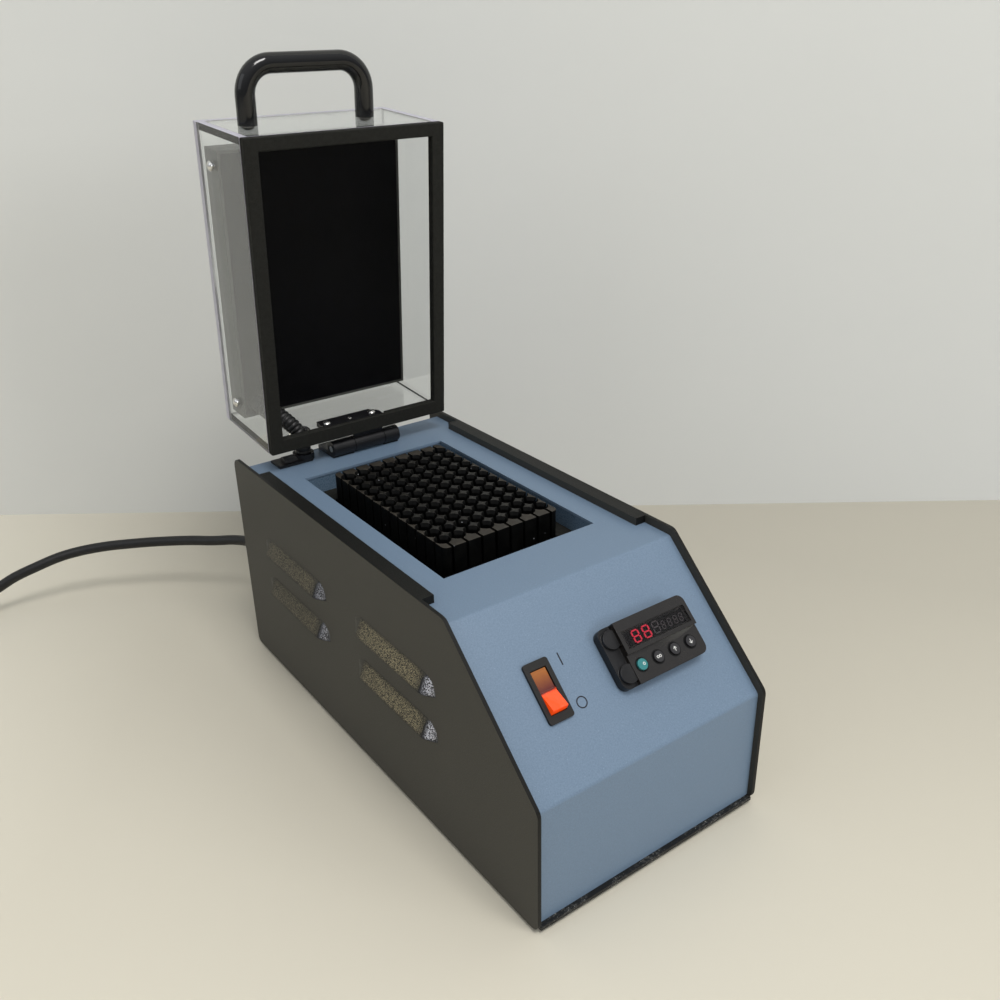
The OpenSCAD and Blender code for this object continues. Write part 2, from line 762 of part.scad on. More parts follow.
// Stored switched on: the upper half is pressed in
module switch_rocker() color("OrangeRed") at_switch()
  translate([0, 0, rocker_pivot_h]) rotate([-rocker_tilt, 0, 0]) {
    intersection() {
      rotate([0, 90, 0]) cylinder(r = rocker_r, h = rocker_w, center = true);
      across(rocker_w + 1) polygon([
        [-rocker_r - 1, 0.8 + (rocker_r + 1) * tan(rocker_tilt)],
        [-rocker_r - 1, -3],
        [-5, -6.5],
        [5, -6.5],
        [rocker_r + 1, -3],
        [rocker_r + 1, 0.8 + (rocker_r + 1) * tan(rocker_tilt)],
        [0, 0.8]
      ]);
    }
    rotate([0, 90, 0]) cylinder(r = rocker_pin_r, h = rocker_w + 2 * rocker_pin_len() - 0.4, center = true);
  }

mark_h = 0.15;
mark_x = 13.9;
mark_s = 11;

module switch_marks() color("White") at_switch() {
  translate([mark_x, mark_s, 0]) slab(0.6, 6.2, 0, mark_h);
  translate([mark_x, -mark_s, 0]) difference() {
    cylinder(r = 2.9, h = mark_h);
    translate([0, 0, -1]) cylinder(r = 2.35, h = 2);
  }
}

// Controller, on the slope

module at_ctrl() on_slope() translate([ctrl_right, ctrl_s, 0]) children();
module at_main() at_ctrl() translate([main_shift, 0, 0]) children();

display_s0 = ctrl_l / 2 - display_l;

// The front's outline, taken up to a height
module front_block(top) translate([0, 0, gasket_ctrl_t]) linear_extrude(top - gasket_ctrl_t)
  polygon(rounded_box(ctrl_w, ctrl_l, 4));

module controller_front() color("Black") difference() {
  union() {
    at_ctrl() front_block(clip_h);
    intersection() {
      at_ctrl() front_block(key_step);
      at_main() slab(main_w, ctrl_l, 0, key_step);
    }
    intersection() {
      at_ctrl() front_block(display_step);
      at_main() translate([0, ctrl_l / 2, 0]) slab(main_w, 2 * display_l, 0, display_step);
    }
    for (s = [-1, 1]) at_ctrl() translate([-ctrl_w / 2 + lobe_r + 0.6, s * lobe_s, clip_h - 1])
      cylinder(r = lobe_r, h = lobe_h + 1);
  }
  at_main() {
    slab(rear_w - 3.3, ctrl_l - 5, gasket_ctrl_t - 1, key_step - front_t);
    translate([0, window_s, 0]) {
      slab(window_w, window_l, display_step - window_t, display_step + 1);
      slab(window_w - 3, window_l - 2, key_step - front_t - 1, display_step);
    }
    key_places() cylinder(r = key_dia / 2 + key_gap, h = 30);
  }
}

module controller_gasket() color("Black") difference() {
  at_ctrl() linear_extrude(gasket_ctrl_t) polygon(rounded_box(ctrl_w - 0.6, ctrl_l - 0.6, 4));
  at_main() slab(rear_w + 0.4, rear_l + 0.4, -1, 2);
}

// The rear case reaches forward through the panel to the front's underside
module controller_case() color("Black") at_main() difference() {
  slab(rear_w, rear_l, -rear_deep, gasket_ctrl_t);
  slab(rear_w - 3, rear_l - 3, -rear_deep + 1.5, gasket_ctrl_t + 2);
}

module controller_collar() color("DimGray") at_main() difference() {
  slab(rear_w + 8, rear_l + 6, -cover_t - 9, -cover_t);
  slab(rear_w + 0.2, rear_l + 0.2, -cover_t - 10, 0);
}

board_bottom = gasket_ctrl_t + 0.4;
board_top = board_bottom + board_t;
key_bottom = key_step - front_t - key_flange_t;
key_proud = 0.9;
digits_bottom = display_step - window_t - 0.5;
digits_t = 0.4;

module controller_board() color("Green") at_main() {
  slab(rear_w - 3.5, rear_l - 3.5, board_bottom, board_top);
  key_places() translate([0, 0, board_top - eps])
    cylinder(r = 1.6, h = key_bottom - key_travel - 0.15 - board_top);
  slab(2, rear_l - 8, -rear_deep + 1.5, board_bottom + eps);
  translate([0, window_s, 0]) slab(window_w - 8, window_l - 4, board_top - eps, digits_bottom);
}

module display_window() color("DarkRed") at_main() translate([0, window_s, 0])
  slab(window_w - 0.2, window_l - 0.2, display_step - window_t, display_step - 0.3);

// The seven bars of one lit digit
module digit(w, l, bar) {
  for (y = [-1:1]) translate([0, y * l / 2, 0]) slab(w - bar, bar, 0, digits_t);
  for (x = [-1, 1], y = [-1, 1]) translate([x * w / 2, y * l / 4, 0]) slab(bar, l / 2 - bar, 0, digits_t);
}

module display_digits() color("Red") at_main() translate([0, window_s, digits_bottom])
  for (x = [-12.3, -5.7]) translate([x, 0, 0]) digit(3.8, 5.8, 0.7);

module key_places()
  for (i = [0:3]) translate([key_x0 + i * key_pitch, key_s, 0]) children();

module key(i) color("DarkSlateGray") at_main()
  translate([key_x0 + i * key_pitch, key_s, key_bottom]) {
    cylinder(r = key_flange_r, h = key_flange_t);
    cylinder(d = key_dia, h = key_step + key_proud - key_bottom);
  }

module key_1() key(0);
module key_2() key(1);
module key_3() key(2);
module key_4() key(3);

// Hinge

function knuckle_x(k) =
  barrel_left + (k > 0 ? knuckle_left : 0) + (k > 1 ? knuckle_mid : 0) + (k > 2 ? knuckle_right : 0);

// Knuckle k of the barrel about the hinge axis, short by half a gap at each split
module knuckle(k, r) {
  x0 = knuckle_x(k) + (k == 0 ? 0 : knuckle_gap / 2);
  x1 = knuckle_x(k + 1) - (k == 2 ? 0 : knuckle_gap / 2);
  translate([x0, 0, 0]) rotate([0, 90, 0]) cylinder(r = r, h = x1 - x0);
}

module at_hinge() in_case() translate([0, hinge_y, hinge_z]) children();

leaf_left = barrel_left;
leaf_right = knuckle_x(3);
body_leaf_back = hinge_back - 1;

module hinge_screw_places()
  in_case() for (f = [0.2, 0.5, 0.8])
    translate([leaf_left + f * (leaf_right - leaf_left), hinge_y + 12.5, cover_top]) children();

module hinge_body_leaf() color("Black") difference() {
  union() {
    in_case() translate([leaf_left, hinge_y - 2, cover_top])
      cube([leaf_right - leaf_left, body_leaf_back + 2, body_leaf_t]);
    at_hinge() {
      knuckle(0, barrel_dia / 2);
      knuckle(2, barrel_dia / 2);
    }
  }
  at_hinge() {
    translate([knuckle_x(1) - knuckle_gap / 2, -barrel_dia, -barrel_dia])
      cube([knuckle_mid + knuckle_gap, 1.5 * barrel_dia + 0.4, 2 * barrel_dia]);
    translate([leaf_left - 1, 0, 0]) rotate([0, 90, 0])
      cylinder(d = pin_dia + 0.06, h = leaf_right - leaf_left + 2);
  }
  hinge_screw_places() {
    translate([0, 0, -1]) cylinder(r = big_screw_r + screw_play, h = 10);
    translate([0, 0, body_leaf_t - 2]) cylinder(r1 = big_screw_r, r2 = big_head_r + 0.3, h = 2 + eps);
  }
}

module hinge_pin() color("Silver") at_hinge()
  translate([leaf_left, 0, 0]) rotate([0, 90, 0]) cylinder(d = pin_dia, h = leaf_right - leaf_left);

module hinge_body_screws() color("Silver") hinge_screw_places() {
  translate([0, 0, -cover_t - 3]) cylinder(r = big_screw_r, h = cover_t + 3 + body_leaf_t - 1.9);
  translate([0, 0, body_leaf_t - 1.9]) cylinder(r1 = big_screw_r, r2 = big_head_r, h = 1.8);
}

module hinge_backing_plate() color("Silver") difference() {
  in_case() translate([leaf_left, hinge_y + 6.5, under_cover - 3])
    cube([leaf_right - leaf_left, 10, 3]);
  hinge_screw_places() translate([0, 0, -10]) cylinder(r = big_screw_r + screw_play, h = 20);
}

// The lid's leaf: out of the barrel just behind the rim, then in along the hinge wall
leaf_lid_left = barrel_left - 3.8;
leaf_lid_right = knuckle_x(3) - 9.2;
leaf_face_n = gasket_t - 0.3;
leaf_root_n = leaf_face_n - leaf_root_t;
leaf_chamfer = 5;

module hinge_lid_leaf() color("Black") {
  difference() {
    union() {
      at_hinge() knuckle(1, barrel_dia / 2);
      in_lid() translate([knuckle_x(1) + knuckle_gap / 2 + 0.2, -1, leaf_root_n])
        cube([knuckle_mid - knuckle_gap - 0.4, 1 + hinge_reach - pin_dia / 2 - 1, leaf_root_t]);
      in_lid() translate([leaf_lid_left, -lid_t - leaf_t, leaf_root_n])
        cube([leaf_lid_right - leaf_lid_left, lid_t + leaf_t - 0.2, leaf_root_t]);
      in_lid() translate([0, -lid_t - 0.1, 0]) rotate([90, 0, 0]) linear_extrude(leaf_t)
        polygon([[leaf_lid_left, leaf_root_n], [leaf_lid_right, leaf_root_n],
          [leaf_lid_right, leaf_n - leaf_chamfer], [leaf_lid_right - leaf_chamfer, leaf_n],
          [leaf_lid_left, leaf_n]]);
    }
    at_hinge() translate([leaf_left - 1, 0, 0]) rotate([0, 90, 0])
      cylinder(d = pin_dia + 0.06, h = leaf_right - leaf_left + 2);
    lid_leaf_screw_places() cylinder(r = screw_r + screw_play, h = 20, center = true);
  }
}

leaf_screw_f = [0.1, 0.48, 0.86];

module at_leaf_screw(f)
  in_lid() translate([leaf_lid_left + f * (leaf_lid_right - leaf_lid_left), -lid_t - 0.1 - leaf_t, leaf_n - 5.8])
    rotate([90, 0, 0]) children();

module lid_leaf_screw_places()
  for (f = leaf_screw_f) at_leaf_screw(f) children();

module hinge_lid_screws() color("Silver")
  for (k = [0:2]) at_leaf_screw(leaf_screw_f[k])
    screw(screw_r, leaf_t + lid_t - 0.5, leaf_head_r, leaf_head_h[k]);

// Lid, drawn closed

module lid_box(x0, x1, y0, y1, z0, z1)
  translate([x0, y1, z0]) cube([x1 - x0, y0 - y1, z1 - z0]);

module lid_top_plate() color("LightCyan") in_lid()
  lid_box(-lid_w / 2, lid_w / 2, 0, -lid_l, lid_in_depth, lid_depth);

module side_screw_places()
  in_lid() for (y = [heater_y0 - side_screw_in, heater_y1 + side_screw_in - 1])
    translate([-lid_w / 2, y, side_screw_n]) rotate([0, -90, 0]) children();

module lid_side_plates() color("LightCyan") difference() {
  in_lid() for (side = [-1, 1])
    translate([side * (lid_w - lid_t) / 2, 0, 0]) lid_box(-lid_t / 2, lid_t / 2, 0, -lid_l, gasket_t, lid_in_depth);
  side_screw_places() cylinder(r = screw_r + screw_play, h = 30, center = true);
}

module handle_leg_places()
  in_lid() for (side = [-1, 1])
    translate([side * handle_span / 2 - handle_left, -lid_l, handle_n]) rotate([90, 0, 0]) children();

module lid_end_plates() color("LightCyan") difference() {
  in_lid() {
    lid_box(-lid_in_w / 2, lid_in_w / 2, 0, -lid_t, gasket_t, lid_in_depth);
    lid_box(-lid_in_w / 2, lid_in_w / 2, -lid_l + lid_t, -lid_l, gasket_t, lid_in_depth);
  }
  handle_leg_places() cylinder(r = big_screw_r + screw_play, h = 3 * lid_t, center = true);
  lid_leaf_screw_places() cylinder(r = screw_r + screw_play, h = 2 * (leaf_t + lid_t - 0.4), center = true);
  in_lid() translate([cable_hole_x, 0, cable_hole_n]) rotate([90, 0, 0])
    cylinder(r = lid_cable_dia / 2 + 1.7, h = 3 * lid_t, center = true);
}

module lid_gasket() color("Black") in_lid() difference() {
  union() {
    for (side = [-1, 1]) translate([side * (lid_w - gasket_side) / 2, 0, 0])
      lid_box(-gasket_side / 2, gasket_side / 2, 0, -lid_l, 0, gasket_t);
    lid_box(-lid_w / 2 + gasket_side, lid_w / 2 - gasket_side, -lid_l + gasket_free, -lid_l, 0, gasket_t);
    lid_box(-lid_w / 2 + gasket_side, lid_w / 2 - gasket_side, 0, -gasket_hinge, 0, gasket_t);
  }
  translate([leaf_lid_left - 0.2, -gasket_hinge - 1, leaf_root_n - 0.2])
    cube([leaf_lid_right - leaf_lid_left + 0.4, gasket_hinge + 2, gasket_t]);
}

module lid_handle() color("Black") in_lid()
  translate([-handle_left, -lid_l, handle_n]) difference() {
    union() {
      for (side = [-1, 1]) {
        translate([side * handle_span / 2, 0, 0]) rotate([90, 0, 0])
          cylinder(d = handle_dia, h = handle_h - handle_dia / 2 - handle_bend);
        translate([side * (handle_span / 2 - handle_bend), -(handle_h - handle_dia / 2 - handle_bend), 0])
          rotate([0, 0, side > 0 ? -90 : 180]) rotate_extrude(angle = 90)
            translate([handle_bend, 0]) circle(d = handle_dia);
      }
      translate([0, -(handle_h - handle_dia / 2), 0]) rotate([0, 90, 0])
        cylinder(d = handle_dia, h = handle_span - 2 * handle_bend, center = true);
    }
    for (side = [-1, 1]) translate([side * handle_span / 2, 1, 0]) rotate([90, 0, 0])
      cylinder(r = big_screw_r + screw_play, h = 11);
  }

module handle_screws() color("Silver") handle_leg_places()
  translate([0, 0, -lid_t]) rotate([180, 0, 0]) screw(big_screw_r, lid_t + 9, big_head_r, head_h);

module lid_heater_box() color("Black") difference() {
  in_lid() difference() {
    lid_box(-heater_w / 2, heater_w / 2, heater_y0, heater_y1, heater_n, heater_back);
    lid_box(-heater_w / 2 + box_t, heater_w / 2 - box_t, heater_y0 - box_t, heater_y1 + box_t,
      heater_n - 1, heater_back - box_t);
  }
  side_screw_places() cylinder(r = screw_r + screw_play, h = 2 * (lid_t + cover_play + box_t + 4), center = true);
}

module heater_layer(z0, z1, play)
  in_lid() lid_box(-heater_w / 2 + box_t + play, heater_w / 2 - box_t - play,
    heater_y0 - box_t - play, heater_y1 + box_t + play, z0, z1);

module lid_heater_plate() color("DimGray") difference() {
  heater_layer(heater_n, pad_bottom, 0.1);
  side_screw_places() cylinder(r = screw_r + 0.6, h = 2 * (lid_t + cover_play + box_t + 4), center = true);
}

module lid_heating_pad() color("OrangeRed") difference() {
  heater_layer(pad_bottom, foam_lid_bottom, 6);
}

module lid_insulation() color("Khaki") difference() {
  heater_layer(foam_lid_bottom, heater_back - box_t, 6);
}

module lid_side_screws() color("Black") side_screw_places()
  screw(screw_r, lid_t + cover_play + box_t + 2, head_r, head_h);

// Lid cable

rib_pitch = 2.5;
rib_depth = 0.7;

// Centre line points in the closed lid's frame, from the heated cover to the hinge wall,
// then straight down into the gland
function from_lid(q) =
  let (
    y = q[1] - hinge_reach,
    z = q[2] - rim_drop
  )
  [q[0], hinge_y + y * cos(lid_open) + z * sin(lid_open), hinge_z - y * sin(lid_open) + z * cos(lid_open)];

cable_in_lid = [
  [-46, -16, heater_n],
  [-46, -16, 37.5],
  [-46, -15.8, 32.5],
  [-44.6, -14.2, 27.5],
  [-42, -11.4, 23],
  [-38.6, -7.4, 19],
  [-35.8, -2.6, 16.4],
  [-34.6, 1.2, 15.4]
];
cable_points = concat(
  [for (q = cable_in_lid) from_lid(q)],
  [for (z = [hinge_z + 4, hinge_z - 1, cover_top]) [gland_x, gland_y, z]]);

// A smooth curve through a list of points
function catmull(a, b, c, d, t) =
  0.5 * (2 * b + (c - a) * t + (2 * a - 5 * b + 4 * c - d) * t * t + (3 * b - a - 3 * c + d) * t * t * t);
function smooth_path(p, steps) = concat(
  [for (i = [0:len(p) - 2], s = [0:steps - 1])
    catmull(p[max(i - 1, 0)], p[i], p[i + 1], p[min(i + 2, len(p) - 1)], s / steps)],
  [p[len(p) - 1]]);

module lid_cable() color("Black") in_case() {
  path = smooth_path(cable_points, 4);
  n = len(path);
  radii = [for (i = [0:n - 1])
    i < 8 || i > n - 9 || i % 2 == 0 ? lid_cable_dia / 2 - rib_depth : lid_cable_dia / 2];
  tube(path, radii, 8, [1, 0, 0]);
}

module cable_gland() color("Black") in_case() translate([gland_x, gland_y, cover_top]) difference() {
  union() {
    translate([-gland_len / 2 + 3, 0, 0]) slab(gland_len, gland_w, 0, 1.6);
    intersection() {
      translate([-gland_len + 8, 0, 0.8]) rotate([0, 90, 0]) cylinder(r = gland_h - 0.8, h = gland_len - 9);
      translate([-gland_len / 2, 0, 0]) slab(2 * gland_len, gland_w, 0, gland_h);
    }
    cylinder(r = gland_w / 2, h = gland_h);
  }
  translate([0, 0, -1]) cylinder(r = lid_cable_dia / 2 + 0.1, h = gland_h + 2);
}

// Mains cord: points in the row's frame, chosen to follow the photographed route
mains_points = [
  [-51, 182, 47],
  [-51, 188, 47],
  [-57, 198, 46],
  [-68, 210, 44],
  [-81, 223, 43],
  [-97, 236, 42],
  [-113, 246, 41.5],
  [-130, 256, 40.5],
  [-146, 263, 39],
  [-160, 267, 37],
  [-176, 270, 33],
  [-190, 273, 28.5],
  [-203, 276, 22],
  [-216, 281, 15.5],
  [-230, 287, 10],
  [-244, 293, 6.5],
  [-260, 301, 4.2],
  [-276, 304, 3.6],
  [-290, 304, 3.6]
];

cord_exit = [-inlet_left, front_y + inlet_y + plug_body_len + relief_len - 2 * eps, foot_h + inlet_z];

module mains_cord() color("Black")
  tube(concat([cord_exit], [for (i = [1:len(mains_points) - 1]) mains_points[i]]),
    [for (q = mains_points) cord_dia / 2], 10, [0, 0, 1]);

// The coil lies flat: three turns in, a climb, and three turns out on top
coil_turns = 3;
coil_pitch = 7.7;
coil_centre = [-297, 254];
coil_outer = 50;
coil_z = 3.6;
coil_lift = 1.2;
coil_lead = 7;
coil_tail = 12;
coil_rings = 24;
coil_sides = 6;

function coil_radius(t) = coil_outer - coil_pitch * (t < coil_turns ? t : 2 * coil_turns - t);
function coil_height(t) =
  coil_z + coil_pitch * min(1, max(0, (t - coil_turns + 0.25) / 0.5))
  + coil_lift * max(0, 4 * (t - 2 * coil_turns) + 1);
function coil_point(t) = [
  coil_centre[0] + coil_radius(t) * cos(90 + 360 * t),
  coil_centre[1] + coil_radius(t) * sin(90 + 360 * t),
  coil_height(t)
];
coil_start = [coil_centre[0] + coil_lead, coil_centre[1] + coil_outer, coil_height(0)];
coil_end = [coil_centre[0] - coil_tail, coil_centre[1] + coil_outer, coil_height(2 * coil_turns)];
coil_path = concat(
  [coil_start],
  [for (i = [0:2 * coil_turns * coil_rings]) coil_point(i / coil_rings)],
  [coil_end]);

module mains_cord_coil() color("Black")
  tube(coil_path, [for (q = coil_path) cord_dia / 2], coil_sides, [0, 0, 1]);

// Least gap from the coil's tube to itself, over rings at least half a turn apart
coil_gap = min([for (i = [0:len(coil_path) - 1], j = [i + coil_rings / 2:1:len(coil_path) - 1])
  norm(coil_path[i] - coil_path[j])]) - cord_dia;
echo(coil_gap = coil_gap);

function path_length(p, i = 1) = i >= len(p) ? 0 : norm(p[i] - p[i - 1]) + path_length(p, i + 1);
echo(cord_length = path_length(mains_points) + path_length(coil_path));

plug_start = coil_end;
plug_relief = 28;
plug_len = 34;

module mains_plug() color("Black") translate(plug_start) {
  rotate([0, -90, 0]) cylinder(d1 = cord_dia + 0.8, d2 = cord_dia + 4.6, h = plug_relief);
  translate([-plug_relief + eps, 0, 0]) rotate([90, 0, -90]) linear_extrude(plug_len)
    polygon(rounded_box(25, 2 * plug_start[2] - 0.6, 5));
}

module plug_pins() color("Silver") translate(plug_start + [-plug_relief - plug_len + eps, 0, 0]) {
  for (y = [-1, 1]) translate([-17, y * 6.35 - 0.75, 1.35]) cube([17, 1.5, 6.3]);
  translate([0, 0, -7.4]) rotate([0, -90, 0]) cylinder(d = 4.8, h = 20);
}

top_cover();
left_side_panel();
right_side_panel();
base_pan();
rear_panel();
rubber_feet();
base_screws();
chamber_liner();
chamber_insulation();
chamber_floor();
well_block();
well_posts();
block_heater();
heater_clamp_plate();
block_screws();
block_standoffs();
block_sensor();
thermal_cutout();
heater_relay();
terminal_strip();
power_inlet();
inlet_screws();
switch_housing();
switch_rocker();
switch_marks();
controller_front();
controller_case();
controller_collar();
controller_gasket();
controller_board();
display_window();
display_digits();
key_1();
key_2();
key_3();
key_4();
hinge_body_leaf();
hinge_pin();
hinge_body_screws();
hinge_backing_plate();
hinge_lid_leaf();
hinge_lid_screws();
lid_top_plate();
lid_side_plates();
lid_end_plates();
lid_gasket();
lid_handle();
handle_screws();
lid_heater_box();
lid_heater_plate();
lid_heating_pad();
lid_insulation();
lid_side_screws();
lid_cable();
cable_gland();
mains_connector();
mains_cord();
mains_cord_coil();
mains_plug();
plug_pins();
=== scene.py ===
import json
from math import cos, pi, radians, sin

import bmesh
import bpy
import numpy as np
from mathutils import Matrix, Vector


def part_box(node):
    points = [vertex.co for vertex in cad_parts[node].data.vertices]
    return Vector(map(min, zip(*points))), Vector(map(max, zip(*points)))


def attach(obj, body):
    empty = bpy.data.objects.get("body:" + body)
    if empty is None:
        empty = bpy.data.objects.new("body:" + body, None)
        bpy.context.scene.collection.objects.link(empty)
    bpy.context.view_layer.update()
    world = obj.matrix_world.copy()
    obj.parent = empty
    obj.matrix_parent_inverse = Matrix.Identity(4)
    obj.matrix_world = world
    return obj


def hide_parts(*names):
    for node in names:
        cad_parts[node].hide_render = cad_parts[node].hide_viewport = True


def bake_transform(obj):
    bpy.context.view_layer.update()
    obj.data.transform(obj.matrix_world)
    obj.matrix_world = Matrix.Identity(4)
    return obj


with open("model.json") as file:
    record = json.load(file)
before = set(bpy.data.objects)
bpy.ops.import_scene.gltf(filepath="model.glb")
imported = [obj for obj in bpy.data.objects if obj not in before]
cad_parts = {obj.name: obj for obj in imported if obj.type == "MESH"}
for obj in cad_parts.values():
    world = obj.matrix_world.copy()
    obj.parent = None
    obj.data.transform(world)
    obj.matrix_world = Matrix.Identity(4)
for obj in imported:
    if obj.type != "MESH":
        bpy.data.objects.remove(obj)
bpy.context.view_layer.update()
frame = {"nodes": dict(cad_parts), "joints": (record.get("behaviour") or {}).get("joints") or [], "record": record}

MM = 0.001

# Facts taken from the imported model

NODES = frame["nodes"]
BODY_OF = {node: body for body, nodes in frame["record"]["behaviour"]["bodies"].items() for node in nodes}
JOINTS = {joint["name"]: joint for joint in frame["joints"]}
HINGE = np.array(JOINTS["lid_hinge"]["pos_m"])
LID_OPEN = radians(JOINTS["lid_hinge"]["range_deg"][1])
SLOPE_OUT = -np.array(JOINTS["key_1_press"]["axis"], float)
SLOPE_OUT /= np.linalg.norm(SLOPE_OUT)
SLOPE_UP = np.array([0.0, SLOPE_OUT[2], -SLOPE_OUT[1]])
ROCKER_PIVOT = np.array(JOINTS["rocker_tilt"]["pos_m"])

# The rocker's pivot lies on the sloping panel, this far right of the middle and up the slope
SWITCH_X, SWITCH_S = -38.2 * MM, 45.2 * MM
SLOPE_FOOT = ROCKER_PIVOT - np.array([SWITCH_X, 0, 0]) - SWITCH_S * SLOPE_UP

# The closed lid's back wall and rim from the hinge axis
HINGE_REACH, RIM_DROP = 8.1 * MM, 4.9 * MM
LID_L, LID_W, LID_T, LID_DEPTH = 178.7 * MM, 121.4 * MM, 4.5 * MM, 67 * MM
HEATER_N, HEATER_H = 42.5 * MM, 17.5 * MM
UP, DEEP, SIDEWAYS = np.array([0.0, 0.0, 1.0]), np.array([0.0, 1.0, 0.0]), np.array([1.0, 0.0, 0.0])

# The louvres: the lower row's foot, the rise to the upper row, and where the side panels begin
LOUVRE_FOOT, LOUVRE_RISE = 59.5 * MM, 26.5 * MM
LOUVRE_FRONT, LOUVRE_STEP = 77.8 * MM, 110.5 * MM
FRONT_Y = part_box("left_side_panel")[0][1]

# The controller's middle on the slope; its brown part's shift, width, left end and lowest level
CTRL_X, CTRL_S = 23.2 * MM, 44.9 * MM
MAIN_SHIFT, MAIN_W = 4 * MM, 45.3 * MM
MAIN_LEFT, BROWN_H = MAIN_SHIFT - MAIN_W / 2, 5.2 * MM

# A 96-place block's wells stand this far apart
WELL_PITCH = 9 * MM


def on_slope(x, s, h):
    """A point on the sloping panel: x across, s up the slope, h outwards."""
    return SLOPE_FOOT + x * SIDEWAYS + s * SLOPE_UP + h * SLOPE_OUT


def in_lid(x, v, n):
    """A point of the open lid: x across, v up from its hinge end, n back from its rim."""
    y, z = -v - HINGE_REACH, n - RIM_DROP
    return HINGE * [0, 1, 1] + np.array(
        [x, y * cos(LID_OPEN) + z * sin(LID_OPEN), -y * sin(LID_OPEN) + z * cos(LID_OPEN)])


LID_UP = in_lid(0, 1, 0) - in_lid(0, 0, 0)
LID_BACK = in_lid(0, 0, 1) - in_lid(0, 0, 0)


# Shader trees

class Value:
    """One output of a shader tree, so that sums on it read as Python."""

    def __init__(self, finish, socket):
        self.finish, self.socket = finish, socket

    def sum(self, operation, a, b):
        return self.finish.add("ShaderNodeMath", {"operation": operation}, {0: a, 1: b})

    def __add__(self, other):
        return self.sum("ADD", self, other)

    __radd__ = __add__

    def __mul__(self, other):
        return self.sum("MULTIPLY", self, other)

    __rmul__ = __mul__

    def __sub__(self, other):
        return self.sum("SUBTRACT", self, other)

    def clamp(self):
        return self.finish.add("ShaderNodeMath", {"operation": "ADD", "use_clamp": True}, {0: self, 1: 0.0})


class Finish:
    """A material on one Principled shader, built a node at a time."""

    def __init__(self, name, **sockets):
        self.material = bpy.data.materials.new(name)
        self.material.use_nodes = True
        self.tree = self.material.node_tree
        self.shader = self.tree.nodes["Principled BSDF"]
        self.place = self.add("ShaderNodeTexCoord", output="Object")
        self.feed(self.shader, sockets)

    def feed(self, node, sockets):
        for key, value in sockets.items():
            socket = node.inputs[key.replace("_", " ") if isinstance(key, str) else key]
            if isinstance(value, Value):
                self.tree.links.new(value.socket, socket)
            elif isinstance(value, tuple) and len(value) == 3 and socket.type == "RGBA":
                socket.default_value = (*value, 1.0)
            else:
                socket.default_value = value

    def add(self, kind, settings=None, inputs=None, output=0):
        """Add a node, set its settings first and its sockets next, and hand back one output."""
        node = self.tree.nodes.new(kind)
        for key, value in (settings or {}).items():
            if key == "stops":
                ramp = node.color_ramp.elements
                while len(ramp) < len(value):
                    ramp.new(0.5)
                for element, (position, grey) in zip(ramp, value):
                    element.position = position
                    element.color = (grey, grey, grey, 1.0)
            else:
                setattr(node, key, value)
        self.feed(node, inputs or {})
        return Value(self, node.outputs[output])

    def noise(self, size, detail=2.0, rough=0.5, squeeze=None):
        """Cloudy noise whose lumps are about size metres across."""
        place = self.place
        if squeeze is not None:
            place = self.add("ShaderNodeMapping", None, {"Vector": place, "Scale": squeeze})
        return self.add("ShaderNodeTexNoise", None,
                        {"Vector": place, "Scale": 1.0 / size, "Detail": detail, "Roughness": rough})

    def cells(self, size):
        """Distance to the nearest of scattered points about size metres apart."""
        return self.add("ShaderNodeTexVoronoi", None, {"Vector": self.place, "Scale": 1.0 / size})

    def ramp(self, value, *stops):
        return self.add("ShaderNodeValToRGB", {"stops": stops}, {0: value})

    def specks(self, spacing, share):
        """One round dot in each cell of scattered points, its radius the given share of the spacing."""
        return self.ramp(self.cells(spacing), (share * 0.6, 1.0), (share, 0.0))

    def along(self, direction, origin=(0.0, 0.0, 0.0)):
        """Distance along a direction from a point, in millimetres."""
        kind = "ShaderNodeVectorMath"
        offset = self.add(kind, {"operation": "SUBTRACT"}, {0: self.place, 1: tuple(origin)})
        direction = tuple(1000 * float(d) for d in direction)
        return self.add(kind, {"operation": "DOT_PRODUCT"}, {0: offset, 1: direction}, output=1)

    def blend(self, factor, a, b):
        return self.add("ShaderNodeMix", {"data_type": "RGBA"}, {0: factor, 6: a, 7: b}, output=2)

    def bump(self, height, depth):
        """Relief of the given depth in metres where height runs from 0 to 1."""
        return self.add("ShaderNodeBump", None, {"Height": height, "Distance": depth, "Strength": 1.0})

    def set(self, **sockets):
        self.feed(self.shader, sockets)
        return self


def srgb(text):
    """Linear colour of a six digit screen colour."""
    channels = [int(text[i:i + 2], 16) / 255 for i in (0, 2, 4)]
    return tuple(c / 12.92 if c <= 0.04045 else ((c + 0.055) / 1.055) ** 2.4 for c in channels)


def powder_coat(name, colour, dark, grain, depth, roughness, sparkle, glints=0.0, shine=0.5):
    """Baked powder: close-set grains in relief, an even colour, and a few scattered lighter grains."""
    f = Finish(name, Specular_IOR_Level=shine)
    grains = f.noise(grain, 4, 0.62)
    pips = f.ramp(f.cells(grain * 1.6), (0.0, 1.0), (0.5, 0.0))
    tone = f.blend(f.ramp(grains, (0.35, 0.0), (0.65, 1.0)), dark, colour)
    light = tuple(min(1.0, 1.5 * c + 0.06) for c in colour)
    f.set(Base_Color=f.blend(glints * f.specks(grain * 4, 0.09), tone, light),
          Roughness=f.ramp(grains, (0.35, roughness - sparkle), (0.65, roughness + sparkle)),
          Normal=f.bump(0.75 * grains + 0.25 * pips, depth))
    return f.material


